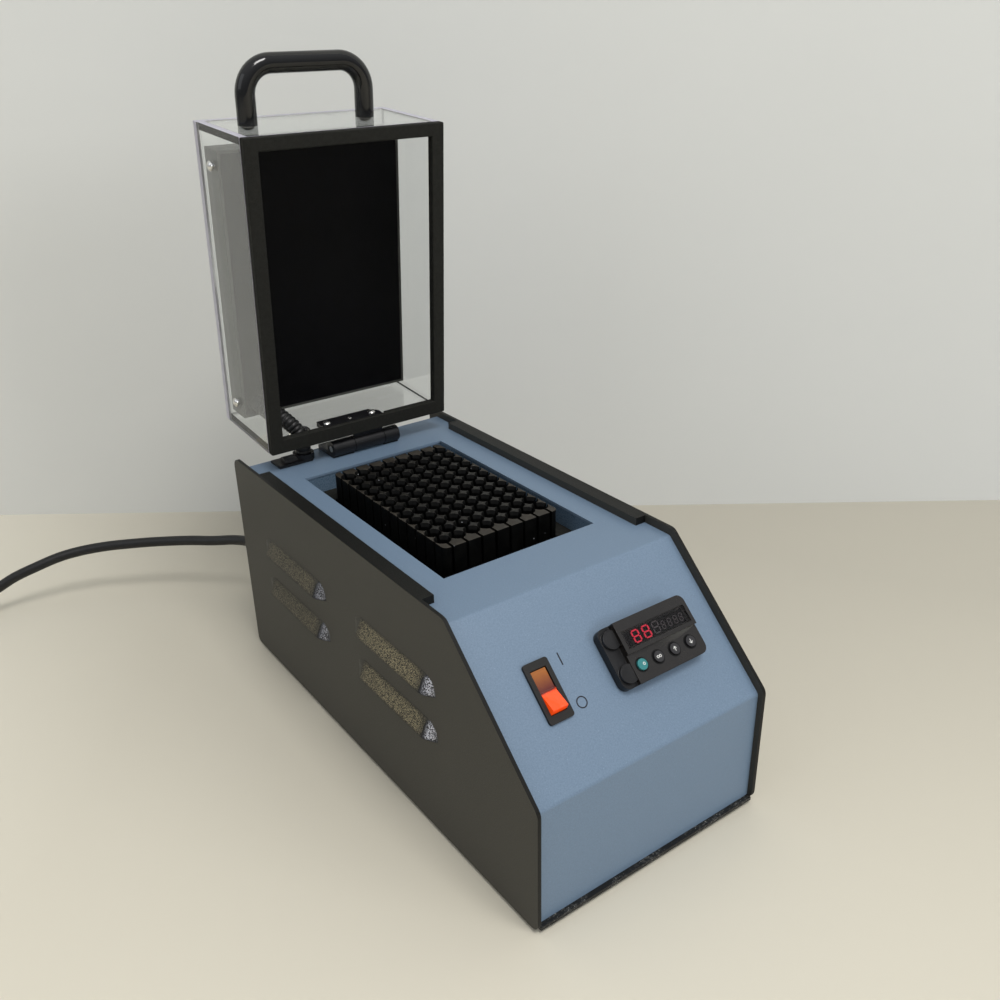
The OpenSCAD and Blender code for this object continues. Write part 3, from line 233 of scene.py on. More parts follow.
def louvre_painted_light(name, dark, light, grain, roughness, metal, relief, shades):
    """The same powder where the sheet was stretched: coarse grains stand apart and the metal shows between, and
    the face is painted lighter than the panel coat as painted light.

    Each louvre has painted shade where its face folds into the sheet and at its open lip, and painted shade makes
    the rear ones duller.
    shades is the painted light share along a louvre, from its front end at 0 to its rear end at 0.7; on a front
    end it makes a painted highlight."""
    f = Finish(name, Specular_IOR_Level=0.6, Metallic=metal)
    grains = f.noise(grain, 3, 0.7)
    coarse = f.ramp(f.cells(grain * 1.1), (0.1, 1.0), (0.6, 0.0))
    mix = f.ramp(0.6 * grains + 0.4 * coarse, (0.32, 0.0), (0.54, 1.0))
    height = f.along(UP, (0, 0, LOUVRE_FOOT))
    level = 0.1 * height.sum("MODULO", height, 1000 * LOUVRE_RISE)
    # Painted shade where the face folds into the sheet and at the open lip
    face = f.ramp(level, (0.0, 0.0), (0.12, 1.0), (0.8, 1.0), (1.0, 0.0))
    # Painted shade on the rear louvres
    rear = f.ramp(0.01 * f.along(DEEP, (0, FRONT_Y + 120 * MM, 0)), (0.0, 1.0), (1.0, 0.4))
    back = f.along(DEEP, (0, FRONT_Y + LOUVRE_FRONT, 0))
    # Painted light along each louvre, and a painted highlight on a front end
    run = f.ramp(0.01 * back.sum("MODULO", back, 1000 * LOUVRE_STEP), *shades)
    lit = mix * face * rear * run
    f.set(Base_Color=f.blend(lit, dark, light),
          Roughness=f.ramp(mix, (0.0, roughness + 0.2), (1.0, roughness)),
          Normal=f.bump(0.5 * grains + 0.5 * coarse, relief))
    return f.material


def dusty_coat(name, colour, dust, roughness):
    """Black sheet with dust and pale crumbs lying on it, thickest in patches."""
    f = Finish(name, Specular_IOR_Level=0.3)
    grains = f.noise(0.5 * MM, 4, 0.6)
    patches = f.ramp(f.noise(9 * MM, 3), (0.42, 0.0), (0.62, 1.0))
    crumbs = f.specks(1.6 * MM, 0.2) * patches
    film = 0.5 * f.ramp(f.noise(1.1 * MM, 4, 0.7), (0.52, 0.0), (0.7, 1.0)) * patches
    f.set(Base_Color=f.blend((crumbs + film).clamp(), colour, dust),
          Roughness=f.ramp(grains, (0.35, roughness - 0.08), (0.65, roughness + 0.12)),
          Normal=f.bump(0.6 * grains + crumbs, 0.06 * MM))
    return f.material


def moulded_plastic(name, colour, roughness, grain=0.25 * MM, depth=0.02 * MM, coat=0.0, shine=0.5):
    """Moulded plastic with a fine spark-eroded skin and faint handling marks."""
    f = Finish(name, Coat_Weight=coat, Coat_Roughness=0.12, Specular_IOR_Level=shine)
    skin = f.noise(grain, 3)
    handling = f.noise(9 * MM, 4)
    f.set(Base_Color=f.blend(handling, tuple(0.8 * c for c in colour), tuple(1.15 * c for c in colour)),
          Roughness=f.ramp(handling, (0.3, roughness - 0.06), (0.7, roughness + 0.08)),
          Normal=f.bump(skin, depth))
    return f.material


def turned_metal(name, colour, roughness):
    """Bright metal with short fine scratches and slight staining."""
    f = Finish(name, Metallic=1.0)
    lines = f.noise(0.25 * MM, 3, 0.6, squeeze=(1.0, 6.0, 6.0))
    stain = f.noise(4 * MM, 3)
    f.set(Base_Color=f.blend(stain, tuple(0.72 * c for c in colour), colour),
          Roughness=f.ramp(lines, (0.3, roughness - 0.08), (0.7, roughness + 0.12)),
          Normal=f.bump(lines, 0.006 * MM))
    return f.material


def anodised(name, colour, edge, roughness, shine, nick=1.0):
    """Black anodised aluminium: an even dark skin, slightly cloudy, with fine tool marks and small nicks."""
    f = Finish(name, Specular_IOR_Level=shine)
    cloud = f.noise(6 * MM, 3)
    marks = f.noise(0.35 * MM, 2, 0.5, squeeze=(1.0, 8.0, 1.0))
    nicks = nick * f.specks(7 * MM, 0.05)
    worn = f.ramp(cloud, (0.3, 0.0), (0.7, 1.0))
    f.set(Base_Color=f.blend(nicks, f.blend(worn, colour, edge), (0.35, 0.36, 0.38)),
          Roughness=f.ramp(cloud, (0.3, roughness - 0.06), (0.7, roughness + 0.1)),
          Normal=f.bump(marks, 0.01 * MM))
    return f.material


def clear_sheet(name):
    """Clear cast acrylic with a thin haze of dust."""
    f = Finish(name, Base_Color=(0.97, 0.985, 0.985), IOR=1.49, Transmission_Weight=1.0)
    f.set(Roughness=f.ramp(f.noise(12 * MM, 4), (0.4, 0.01), (0.8, 0.04)))
    return f.material


def sawn_edge(name):
    """The sawn and flamed edge of a clear sheet: milky, with fine saw lines and small white specks of painted
    highlight.
    """
    f = Finish(name, IOR=1.49, Transmission_Weight=0.25)
    lines = f.noise(0.5 * MM, 3, 0.6)
    milk = f.blend(f.noise(5 * MM, 3), srgb("b4b1bf"), srgb("cfcdd9"))
    # Painted highlights: small white specks
    f.set(Base_Color=f.blend(f.specks(9 * MM, 0.06), milk, srgb("f6f6f8")),
          Roughness=f.ramp(lines, (0.3, 0.3), (0.7, 0.5)),
          Normal=f.bump(lines, 0.03 * MM))
    return f.material


def rubber(name, colour, roughness, depth=0.03 * MM, shine=0.5):
    """Rubber, soft PVC or felt: a fine grain in relief and a film of dust in patches."""
    f = Finish(name, Specular_IOR_Level=shine)
    grain = f.noise(0.4 * MM, 4)
    dust = f.ramp(f.noise(3.5 * MM, 5, 0.6), (0.45, 0.0), (0.8, 1.0))
    f.set(Base_Color=f.blend(dust, colour, tuple(1.6 * c + 0.002 for c in colour)),
          Roughness=f.ramp(grain, (0.3, roughness - 0.08), (0.7, roughness + 0.08)),
          Normal=f.bump(grain, depth))
    return f.material


def foam(name, colour, shine):
    """Closed-cell foam: a matt skin pitted with fine cells, with painted shade darkening each pit."""
    f = Finish(name, Specular_IOR_Level=shine)
    shaded_pits = f.ramp(f.cells(0.7 * MM), (0.1, 0.0), (0.5, 1.0))
    lumps = f.noise(2.5 * MM, 3)
    # Painted shade: darker in the pits
    f.set(Base_Color=f.blend(shaded_pits, tuple(0.55 * c for c in colour), colour),
          Roughness=f.ramp(lumps, (0.3, 0.72), (0.7, 0.9)),
          Normal=f.bump(0.4 * shaded_pits + 0.6 * lumps, 0.15 * MM))
    return f.material


def folded_grey(name):
    """The heated cover's folded sheet: a paler back tray whose edge laps over the front one."""
    f = Finish(name, Specular_IOR_Level=0.3)
    depth = f.along(LID_BACK, in_lid(0, 0, HEATER_N + 0.62 * HEATER_H))
    back = f.ramp(0.5 + 2.0 * depth, (0.4, 0.0), (0.6, 1.0))
    groove = f.ramp(0.5 + 0.5 * depth, (0.3, 1.0), (0.5, 0.0))
    grain = f.noise(0.6 * MM, 4)
    f.set(Base_Color=f.blend(back, srgb("3d3e3a"), srgb("4c4e4a")),
          Roughness=f.ramp(grain, (0.3, 0.45), (0.7, 0.65)),
          Normal=f.bump(0.1 * grain + back + groove, 0.15 * MM))
    return f.material


def glowing(name, colour, light, strength):
    """A lit plastic face, slightly uneven."""
    f = Finish(name, Roughness=0.25, Base_Color=colour, Emission_Strength=strength)
    haze = f.noise(0.8 * MM, 2)
    f.set(Emission_Color=f.blend(haze, tuple(0.8 * c for c in light), light))
    return f.material


def lit_rocker(name):
    """Clear amber plastic with a lamp behind its lower half.

    It is dull gold at the top, with painted shade at the pivot where the pressed-in upper half sits in the bezel's
    shadow, and it glows bright below it."""
    f = Finish(name, Roughness=0.12, IOR=1.5, Coat_Weight=0.3, Coat_Roughness=0.05, Emission_Strength=0.55)
    up = f.along(SLOPE_UP, ROCKER_PIVOT)
    swirl = 1.6 * f.noise(3 * MM, 2) - 0.8
    level = 0.5 + 0.05 * (up + swirl)
    low = f.ramp(level, (0.44, 1.0), (0.5, 0.0))
    # Painted shade: dark at the pivot, paling to dull gold at the top
    top = f.ramp(level, (0.55, 0.0), (0.95, 1.0))
    body = f.blend(top, srgb("54140a"), srgb("93551c"))
    lamp = f.blend(top, srgb("220500"), srgb("241003"))
    f.set(Base_Color=f.blend(low, body, srgb("e0400e")),
          Emission_Color=f.blend(low, lamp, srgb("e8480c")))
    return f.material


BLUE_COAT = powder_coat("blue_powder_coat", srgb("697c90"), srgb("5f7286"), 0.7 * MM, 0.03 * MM,
                        0.5, 0.08, glints=0.35)
PANEL_COAT = powder_coat("dark_panel_coat", srgb("3a3832"), srgb("2d2c27"), 0.55 * MM, 0.07 * MM,
                         0.55, 0.12, shine=0.4)
# On the side panels this darker copy of the panel coat is painted shade on the edges and folded strip
EDGE_COAT = powder_coat("black_edge_coat", srgb("161614"), srgb("121211"), 0.5 * MM, 0.04 * MM,
                        0.5, 0.1, shine=0.2)
# Louvre faces: a lighter copy of the panel coat as painted light, with painted shade; their front ends: a painted
# highlight
LOUVRE_PAINTED_LIGHT = louvre_painted_light("louvre_coat_painted_light", srgb("1c1a15"), srgb("9a8f6f"), 0.5 * MM,
                           0.42, 0.2, 0.12 * MM,
                           ((0.08, 0.1), (0.15, 1.0), (0.66, 1.0), (0.7, 0.3)))
NOSE_PAINTED_HIGHLIGHT = louvre_painted_light("nose_coat_painted_highlight", srgb("1d1e22"), srgb("e6e9f8"), 0.6 * MM, 0.22, 0.6, 0.05 * MM,
                         ((0.0, 0.3), (0.025, 1.0), (0.055, 1.0), (0.082, 0.0)))
DUSTY_COAT = dusty_coat("dusty_black_pan", srgb("141414"), srgb("8f8f8a"), 0.45)
LINER_COAT = powder_coat("blue_liner_coat", srgb("5f7488"), srgb("566b7e"), 0.6 * MM, 0.03 * MM, 0.3, 0.08)
FOAM_RUBBER = foam("black_foam_rubber", srgb("1d1d1a"), 0.2)
CORD_PVC = rubber("black_cord_sheath", srgb("101010"), 0.42, 0.012 * MM, shine=0.4)
BLACK_BLOCK = anodised("black_anodised_block", srgb("030303"), srgb("080807"), 0.45, shine=0.1)
# The posts' tops are coloured lighter than their sides, and the outer posts' tops lighter than the inner posts'
# tops
INNER_TOP = anodised("inner_post_tops", srgb("12110f"), srgb("1d1b18"), 0.45, shine=0.25)
POST_TOP = anodised("lighter_post_tops", srgb("24211d"), srgb("34302a"), 0.5, shine=0.25)
HEATER_BLACK = anodised("black_heater_face", srgb("050506"), srgb("08080a"), 0.5, shine=0.08, nick=0.0)
BLACK_PLASTIC = moulded_plastic("black_moulded_plastic", srgb("121214"), 0.38, shine=0.35)
BEZEL_GREY = moulded_plastic("dark_bezel_plastic", srgb("1d1c1b"), 0.5, shine=0.3)
SMOKY_BROWN = moulded_plastic("smoky_brown_plastic", srgb("171412"), 0.22, shine=0.45, coat=0.3)
# Black for the display's backing, and for the rings of painted shade round the keys
BACKING_AND_SHADE_BLACK = moulded_plastic("backing_and_shade_black", srgb("0a0a0b"), 0.45, 2 * MM, 0.002 * MM, shine=0.2)
GLOSS_BLACK = moulded_plastic("black_handle_gloss", srgb("060607"), 0.1, 0.8 * MM, 0.004 * MM)
KEY_DARK = moulded_plastic("dark_key_rubber", srgb("222124"), 0.4)
KEY_TEAL = moulded_plastic("teal_key_rubber", srgb("2a7476"), 0.4)
WHITE_PLASTIC = moulded_plastic("white_moulded_plastic", srgb("c9c7bd"), 0.45)
WHITE_INK = moulded_plastic("white_print", srgb("d8d8d4"), 0.6)
BLACK_INK = moulded_plastic("black_print", srgb("151821"), 0.6)
GHOST_DIGIT = moulded_plastic("unlit_digit", srgb("5c5557"), 0.5, 2 * MM, 0.002 * MM)
ZINC = turned_metal("zinc_screw", (0.62, 0.6, 0.57), 0.3)
BRIGHT_SCREW = turned_metal("bright_screw", (0.75, 0.74, 0.72), 0.2)
ALUMINIUM = turned_metal("bare_aluminium", (0.75, 0.76, 0.78), 0.34)
BRASS = turned_metal("brass_blade", (0.72, 0.56, 0.28), 0.28)
ACRYLIC = clear_sheet("clear_acrylic")
SAWN_EDGE = sawn_edge("sawn_acrylic_edge")
MINERAL_WOOL = rubber("mineral_wool", srgb("c8b98a"), 0.9, 0.2 * MM)
SILICONE_MAT = rubber("silicone_heater_mat", srgb("a6521f"), 0.6)
BOARD_GREEN = moulded_plastic("green_board", srgb("1d5c37"), 0.4)
FOLDED_GREY = folded_grey("folded_grey_sheet")
ROCKER_LIT = lit_rocker("lit_amber_rocker")
DIGIT_LIT = glowing("lit_digit", srgb("c03044"), srgb("f03048"), 0.55)
SMOKED = moulded_plastic("smoked_window", srgb("0d0a0c"), 0.08, 1.2 * MM, 0.003 * MM)
SMOKED.node_tree.nodes["Principled BSDF"].inputs["Alpha"].default_value = 0.2


# Meshes

def piece(name, verts, faces, material, body, smooth=True, sharp=40):
    """A new mesh piece that rides on a body, or on none yet."""
    mesh = bpy.data.meshes.new(name)
    mesh.from_pydata(np.asarray(verts, float).reshape(-1, 3).tolist(), [], faces)
    mesh.validate()
    obj = bpy.data.objects.new(name, mesh)
    bpy.context.collection.objects.link(obj)
    mesh.materials.append(material)
    if smooth:
        mesh.shade_smooth()
        mesh.set_sharp_from_angle(angle=radians(sharp))
    if body:
        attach(obj, body)
    return obj


def ring_faces(rows, sides):
    """Quads between neighbouring rings of points, which run ring by ring."""
    i, j = np.meshgrid(np.arange(rows - 1), np.arange(sides), indexing="ij")
    i, j = i.ravel() * sides, j.ravel()
    k = (j + 1) % sides
    return np.stack([i + j, i + k, i + sides + k, i + sides + j], 1)


def tube_rings(path, radius, sides, reference):
    """Rings round a path: at each point, two directions square to it, worked out from a fixed reference."""
    path = np.asarray(path, float)
    along = np.gradient(path, axis=0)
    along /= np.linalg.norm(along, axis=1, keepdims=True)
    side = np.cross(along, reference)
    side /= np.linalg.norm(side, axis=1, keepdims=True)
    up = np.cross(side, along)
    angle = np.linspace(0, 2 * pi, sides, endpoint=False)
    radius = np.broadcast_to(radius, len(path))
    return (path[:, None] + radius[:, None, None] * (
        np.cos(angle)[None, :, None] * side[:, None] + np.sin(angle)[None, :, None] * up[:, None]))


def tube(name, path, radius, material, body, sides=16, reference=UP, sharp=40):
    """A closed tube along a path, its ends flat."""
    rings = tube_rings(path, radius, sides, reference)
    rows = len(rings)
    faces = ring_faces(rows, sides).tolist()
    faces += [list(range(sides))[::-1], list(range((rows - 1) * sides, rows * sides))]
    obj = piece(name, rings, faces, material, body, sharp=sharp)
    outwards(obj)
    return obj


def outwards(obj):
    """Turn every face of a closed mesh outwards."""
    work = bmesh.new()
    work.from_mesh(obj.data)
    bmesh.ops.recalc_face_normals(work, faces=work.faces)
    work.to_mesh(obj.data)
    work.free()


def smooth_path(points, steps):
    """A curve through points: on each span the cubic through its ends with its neighbours' slopes."""
    p = np.asarray(points, float)
    before, after = np.vstack([p[:1], p[:-2]]), np.vstack([p[2:], p[-1:]])
    a, b, c, d = before[:, None], p[:-1, None], p[1:, None], after[:, None]
    t = (np.arange(steps) / steps)[None, :, None]
    spans = 0.5 * (2 * b + (c - a) * t + (2 * a - 5 * b + 4 * c - d) * t ** 2
                   + (3 * b - a - 3 * c + d) * t ** 3)
    return np.vstack([spans.reshape(-1, 3), p[-1:]])


# Edges that turn by more degrees than this are sharp on a CAD shape, and get its rounding
SHARP_TURN = 32


def softened(node, material, width, segments=2, extra=(), choose=None, flat=None):
    """A node's own shape with its edges rounded by width, standing for the node.

    choose(centre, normal) gives each face the number of its finish among material and extra.
    Beside a face that looks along flat, a crease of 2 degrees is already kept sharp."""
    work = bmesh.new()
    work.from_mesh(NODES[node].data)
    bmesh.ops.remove_doubles(work, verts=work.verts, dist=0.002 * MM)
    bmesh.ops.dissolve_limit(work, angle_limit=radians(1.5), verts=work.verts, edges=work.edges)
    mesh = bpy.data.meshes.new(node + "_finished")
    work.to_mesh(mesh)
    work.free()
    mesh.materials.clear()
    for finish in (material, *extra):
        mesh.materials.append(finish)
    count = len(mesh.polygons)
    centre, normal = np.empty(3 * count), np.empty(3 * count)
    mesh.polygons.foreach_get("center", centre)
    mesh.polygons.foreach_get("normal", normal)
    centre, normal = centre.reshape(-1, 3), normal.reshape(-1, 3)
    if choose:
        mesh.polygons.foreach_set("material_index", choose(centre, normal).astype(np.int32))
    obj = bpy.data.objects.new(mesh.name, mesh)
    bpy.context.collection.objects.link(obj)
    mesh.shade_smooth()
    mesh.set_sharp_from_angle(angle=radians(SHARP_TURN))
    if flat is not None:
        keep_creases(mesh, normal, flat)
    bevel = obj.modifiers.new("Edges", "BEVEL")
    bevel.width = width
    bevel.segments = segments
    bevel.limit_method = "ANGLE"
    bevel.angle_limit = radians(SHARP_TURN)
    bevel.harden_normals = True
    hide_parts(node)
    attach(obj, BODY_OF[node])
    return obj


def keep_creases(mesh, normal, flat):
    """Mark as sharp each edge of 2 degrees or more that borders a face looking along flat."""
    work = bmesh.new()
    work.from_mesh(mesh)
    work.faces.ensure_lookup_table()
    level = np.abs(normal @ flat) > 0.9995
    for edge in work.edges:
        if len(edge.link_faces) == 2 and any(level[face.index] for face in edge.link_faces):
            if edge.calc_face_angle(0.0) > radians(2):
                edge.smooth = False
    work.to_mesh(mesh)
    work.free()


def coat_node(node, material):
    """Give a CAD node a finish as it stands."""
    mesh = NODES[node].data
    mesh.materials.clear()
    mesh.materials.append(material)


# Camera, light and room

def camera_at(position, azimuth, elevation, roll, lens):
    """The camera at a point, looking azimuth degrees right of +Y and elevation degrees up, turned by roll."""
    a, e = radians(azimuth), radians(elevation)
    ahead = Vector((sin(a) * cos(e), cos(a) * cos(e), sin(e)))
    turn = ahead.to_track_quat("-Z", "Y").to_matrix() @ Matrix.Rotation(radians(roll), 3, "Z")
    data = bpy.data.cameras.new("camera")
    data.lens = lens
    data.sensor_width = 36
    data.clip_start = 0.01
    obj = bpy.data.objects.new("camera", data)
    obj.matrix_world = Matrix.Translation(position) @ turn.to_4x4()
    bpy.context.collection.objects.link(obj)
    bpy.context.scene.camera = obj


camera_at((-0.2725, -0.42274, 0.37385), azimuth=35.75, elevation=-25.53, roll=-1.11, lens=36.263)


def area_light(name, position, target, size, power, colour):
    """A rectangular lamp of size metres and power watts that faces its target."""
    data = bpy.data.lights.new(name, "AREA")
    data.shape = "RECTANGLE"
    data.size, data.size_y = size
    data.energy = power
    data.color = colour
    obj = bpy.data.objects.new(name, data)
    obj.location = position
    obj.rotation_euler = (Vector(target) - Vector(position)).to_track_quat("-Z", "Y").to_euler()
    bpy.context.collection.objects.link(obj)


area_light("ceiling_panel", (-0.08, -0.98, 2.0), (0, 0.05, 0.1),
           size=(0.8, 0.6), power=24, colour=(1.0, 0.985, 0.96))
area_light("left_window", (-2.2, 0.1, 1.3), (0, 0, 0.1),
           size=(1.6, 1.4), power=5, colour=(0.93, 0.97, 1.0))
area_light("front_fill", (1.0, -2.4, 1.0), (0, 0, 0.1),
           size=(1.2, 0.9), power=22, colour=(0.97, 0.98, 1.0))
bpy.data.objects["front_fill"].visible_glossy = False


def open_sky():
    """Even room light, brighter overhead than level with the bench."""
    world = bpy.data.worlds.new("room")
    bpy.context.scene.world = world
    world.use_nodes = True
    tree = world.node_tree
    sky = tree.nodes["Background"]
    sky.inputs["Color"].default_value = (0.95, 0.97, 1.0, 1.0)
    place = tree.nodes.new("ShaderNodeTexCoord")
    height = tree.nodes.new("ShaderNodeSeparateXYZ")
    ramp = tree.nodes.new("ShaderNodeMapRange")
    for key, value in (("From Min", 0.0), ("From Max", 0.8), ("To Min", 0.32), ("To Max", 0.75)):
        ramp.inputs[key].default_value = value
    tree.links.new(place.outputs["Generated"], height.inputs[0])
    tree.links.new(height.outputs[2], ramp.inputs["Value"])
    tree.links.new(ramp.outputs[0], sky.inputs["Strength"])


open_sky()
bpy.context.scene.view_settings.view_transform = "Standard"


def stage_sheet(name, corners, material):
    """One flat sheet of the room, which isn't part of the object."""
    mesh = bpy.data.meshes.new(name)
    mesh.from_pydata(corners, [], [list(range(len(corners)))])
    mesh.materials.append(material)
    obj = bpy.data.objects.new(name, mesh)
    bpy.context.collection.objects.link(obj)


# The wall: its turn about the vertical, a point at its foot, and in metres its height, half its width
# and the depth of the bench before it
WALL_TURN = radians(-36.33)
WALL_FOOT, WALL_HIGH, HALF_WALL, BENCH_DEEP = (0.1703, 0.2052), 2.5, 3, 2.5


def room():
    """A pale bench top and a pale wall behind it, turned to face the camera; painted shade darkens the bench near
    the wall, and painted light brightens the bench's back-left corner and the wall's left part.
    """
    bench = Finish("pale_bench", Roughness=0.5)
    cloud = bench.noise(0.5, 3)
    # Painted shade: the bench darker near the wall, paler towards the front
    near = bench.ramp(0.001 * bench.along((-1.0, -0.6, 0), (0.17, 0.2, 0)), (0.0, 0.0), (0.6, 1.0))
    far = bench.blend(cloud, srgb("ada89b"), srgb("b3aea0"))
    pale = bench.blend(near, far, bench.blend(cloud, srgb("cdc7b7"), srgb("d2ccbc")))
    # Painted light: the bench paler at its back-left corner
    corner = bench.ramp(0.001 * bench.along((-0.8, 0.6, 0), (-0.1, 0.2, 0)), (0.0, 0.0), (0.4, 1.0))
    bench.set(Base_Color=bench.blend(corner, pale, srgb("e4dfd0")))
    wall = Finish("pale_wall", Roughness=0.9)
    cloud = wall.noise(0.35, 4)
    # Painted light: the wall paler on its left
    left_light = wall.ramp(wall.along((-1.0, 0, -0.3), (0.1, 0, 0.3)) * 0.001, (0.0, 0.0), (0.5, 1.0))
    plain = wall.blend(cloud, srgb("cbccc8"), srgb("d1d2cf"))
    wall.set(Base_Color=wall.blend(left_light, plain, srgb("dcdcd7")))
    foot, high = np.array([*WALL_FOOT, 0]), np.array([0, 0, WALL_HIGH])
    along = np.array([cos(WALL_TURN), sin(WALL_TURN), 0])
    out = np.array([sin(WALL_TURN), -cos(WALL_TURN), 0])
    left, right = foot - HALF_WALL * along, foot + HALF_WALL * along
    stage_sheet("bench_top", [left + BENCH_DEEP * out, right + BENCH_DEEP * out, right, left], bench.material)
    stage_sheet("wall", [left, right, right + high, left + high], wall.material)


room()

# Mains lead: the route's points, in millimetres, are those of the part's source

CORD_DIA = 7 * MM
CORD_EXIT = np.array([-51, 181.519, 47]) * MM
MAINS_POINTS = np.array([
    [-51, 188, 47], [-57, 198, 46], [-68, 210, 44], [-81, 223, 43], [-97, 236, 42], [-113, 246, 41.5],
    [-130, 256, 40.5], [-146, 263, 39], [-160, 267, 37], [-176, 270, 33], [-190, 273, 28.5], [-203, 276, 22],
    [-216, 281, 15.5], [-230, 287, 10], [-244, 293, 6.5], [-260, 301, 4.2], [-276, 304, 3.6],
    [-290, 304, 3.6],
]) * MM
COIL_TURNS, COIL_PITCH, COIL_OUTER, COIL_Z = 3, 7.7 * MM, 50 * MM, 3.6 * MM
COIL_LIFT, COIL_LEAD, COIL_TAIL = 1.2 * MM, 7 * MM, 12 * MM
COIL_CENTRE = np.array([-297, 254]) * MM
COIL_STEPS = 40


def coil_points():
    """Three turns in at a steady pitch, a climb over half a turn, and three turns out on top."""
    t = np.linspace(0, 2 * COIL_TURNS, 2 * COIL_TURNS * COIL_STEPS + 1)
    radius = COIL_OUTER - COIL_PITCH * np.where(t < COIL_TURNS, t, 2 * COIL_TURNS - t)
    height = (COIL_Z + COIL_PITCH * np.clip((t - COIL_TURNS + 0.25) / 0.5, 0, 1)
              + COIL_LIFT * np.maximum(0, 4 * (t - 2 * COIL_TURNS) + 1))
    angle = pi / 2 + 2 * pi * t
    x, y = COIL_CENTRE
    return np.stack([x + radius * np.cos(angle), y + radius * np.sin(angle), height], 1)


def mains_lead():
    """The lead from its exit to its plug as one tube; also its centre line and its length."""
    free = smooth_path(np.vstack([CORD_EXIT, MAINS_POINTS]), 5)
    coil = coil_points()
    entry = [COIL_CENTRE[0] + COIL_LEAD, COIL_CENTRE[1] + COIL_OUTER, COIL_Z]
    path = np.vstack([free[:-1], [entry], coil, [coil[-1] - [COIL_TAIL, 0, 0]]])
    lead = tube("mains_lead", path, CORD_DIA / 2, CORD_PVC, "case", sides=14)
    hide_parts("mains_cord", "mains_cord_coil")
    length = float(np.linalg.norm(np.diff(path, axis=0), axis=1).sum())
    return lead, path, length


lead, lead_path, lead_length = mains_lead()
connector = softened("mains_connector", CORD_PVC, 0.8 * MM, segments=3)
plug = softened("mains_plug", CORD_PVC, 1.0 * MM, segments=3)
coat_node("plug_pins", BRASS)

# Finishes of the nodes that keep their own shape

for nodes, material in (
    (("base_screws", "block_screws", "hinge_pin", "hinge_body_screws", "inlet_screws", "handle_screws",
      "hinge_backing_plate", "block_sensor"), ZINC),
    (("hinge_lid_screws", "lid_side_screws"), BRIGHT_SCREW),
    (("heater_clamp_plate",), ALUMINIUM),
    (("chamber_insulation", "lid_insulation"), MINERAL_WOOL),
    (("block_heater", "lid_heating_pad"), SILICONE_MAT),
    (("block_standoffs", "thermal_cutout", "heater_relay", "terminal_strip"), WHITE_PLASTIC),
    (("controller_case", "controller_collar", "power_inlet", "controller_gasket"), BLACK_PLASTIC),
    (("controller_board",), BOARD_GREEN),
    (("rubber_feet", "chamber_floor"), FOAM_RUBBER),
    (("switch_marks",), BLACK_INK),
    (("display_digits",), DIGIT_LIT),
    (("display_window",), SMOKED),
    (("well_block", "lid_heater_plate"), HEATER_BLACK),
    (("key_2", "key_3", "key_4"), KEY_DARK),
    (("key_1",), KEY_TEAL),
):
    for node in nodes:
        coat_node(node, material)

# Across the side panels; a louvre's front end, the start of its rear end and that end's length
CASE_W = 144.1 * MM
LOUVRE_NOSE, LOUVRE_TAIL, TAIL_L = 8.2 * MM, 69.8 * MM, 8 * MM
LOUVRE_FRONTS = (FRONT_Y + LOUVRE_FRONT, FRONT_Y + LOUVRE_FRONT + LOUVRE_STEP)


def panel_finish(centre, normal):
    """0 for the flat sheet; 1 for its edges and folded strip, in a darker coat of painted shade; 2 for louvres,
    with painted light; 3 for their front ends, with a painted highlight.
    """
    out = np.abs(centre[:, 0]) - CASE_W / 2
    pressed = (out > 0.02 * MM) & (np.abs(normal[:, 0]) > 0.05)
    y = centre[:, 1]
    nose = np.zeros(len(centre), bool)
    for front in LOUVRE_FRONTS:
        nose |= (y > front - MM) & (y < front + LOUVRE_NOSE)
        pressed &= (y < front + LOUVRE_TAIL) | (y > front + LOUVRE_TAIL + TAIL_L)
    # Painted shade: the edges and folded strip, which don't look sideways, take the darker coat
    edge = np.abs(normal[:, 0]) < 0.5
    return np.where(pressed & nose, 3, np.where(pressed, 2, np.where(edge, 1, 0)))


def sheet_edges(direction):
    """0 for a clear sheet's two faces, which look along direction, and its holes; 1 for its edges."""
    def choose(centre, normal):
        offset = centre - in_lid(0, LID_L / 2, LID_DEPTH / 2)
        across, up, back = np.abs(offset[:, 0]), np.abs(offset @ LID_UP), np.abs(offset @ LID_BACK)
        hole = (across < LID_W / 2 - LID_T - MM) | (up < LID_L / 2 - MM)
        hole &= back < LID_DEPTH / 2 - LID_T - MM
        return np.where((np.abs(normal @ direction) > 0.7) | hole, 0, 1)
    return choose


def controller_finish(centre, normal):
    """0 for the black end and rim, 1 for the smoky brown steps that carry the keys and the display."""
    offset = centre - on_slope(CTRL_X, CTRL_S, 0)
    x, h = offset[:, 0], offset @ SLOPE_OUT
    return np.where((x > MAIN_LEFT - 0.1 * MM) & (h > BROWN_H), 1, 0)


def post_finish(centre, normal):
    """0 for the posts' sides and flared mouths, 1 for the outer posts' tops, 2 for the inner ones'."""
    low, high = (np.array(corner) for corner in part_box("well_posts"))
    offset, reach = np.abs(centre - (low + high) / 2), (high - low) / 2 - WELL_PITCH
    inner = np.all(offset[:, :2] < reach[:2], axis=1)
    return np.where(normal[:, 2] > 0.7, 1 + inner, 0)


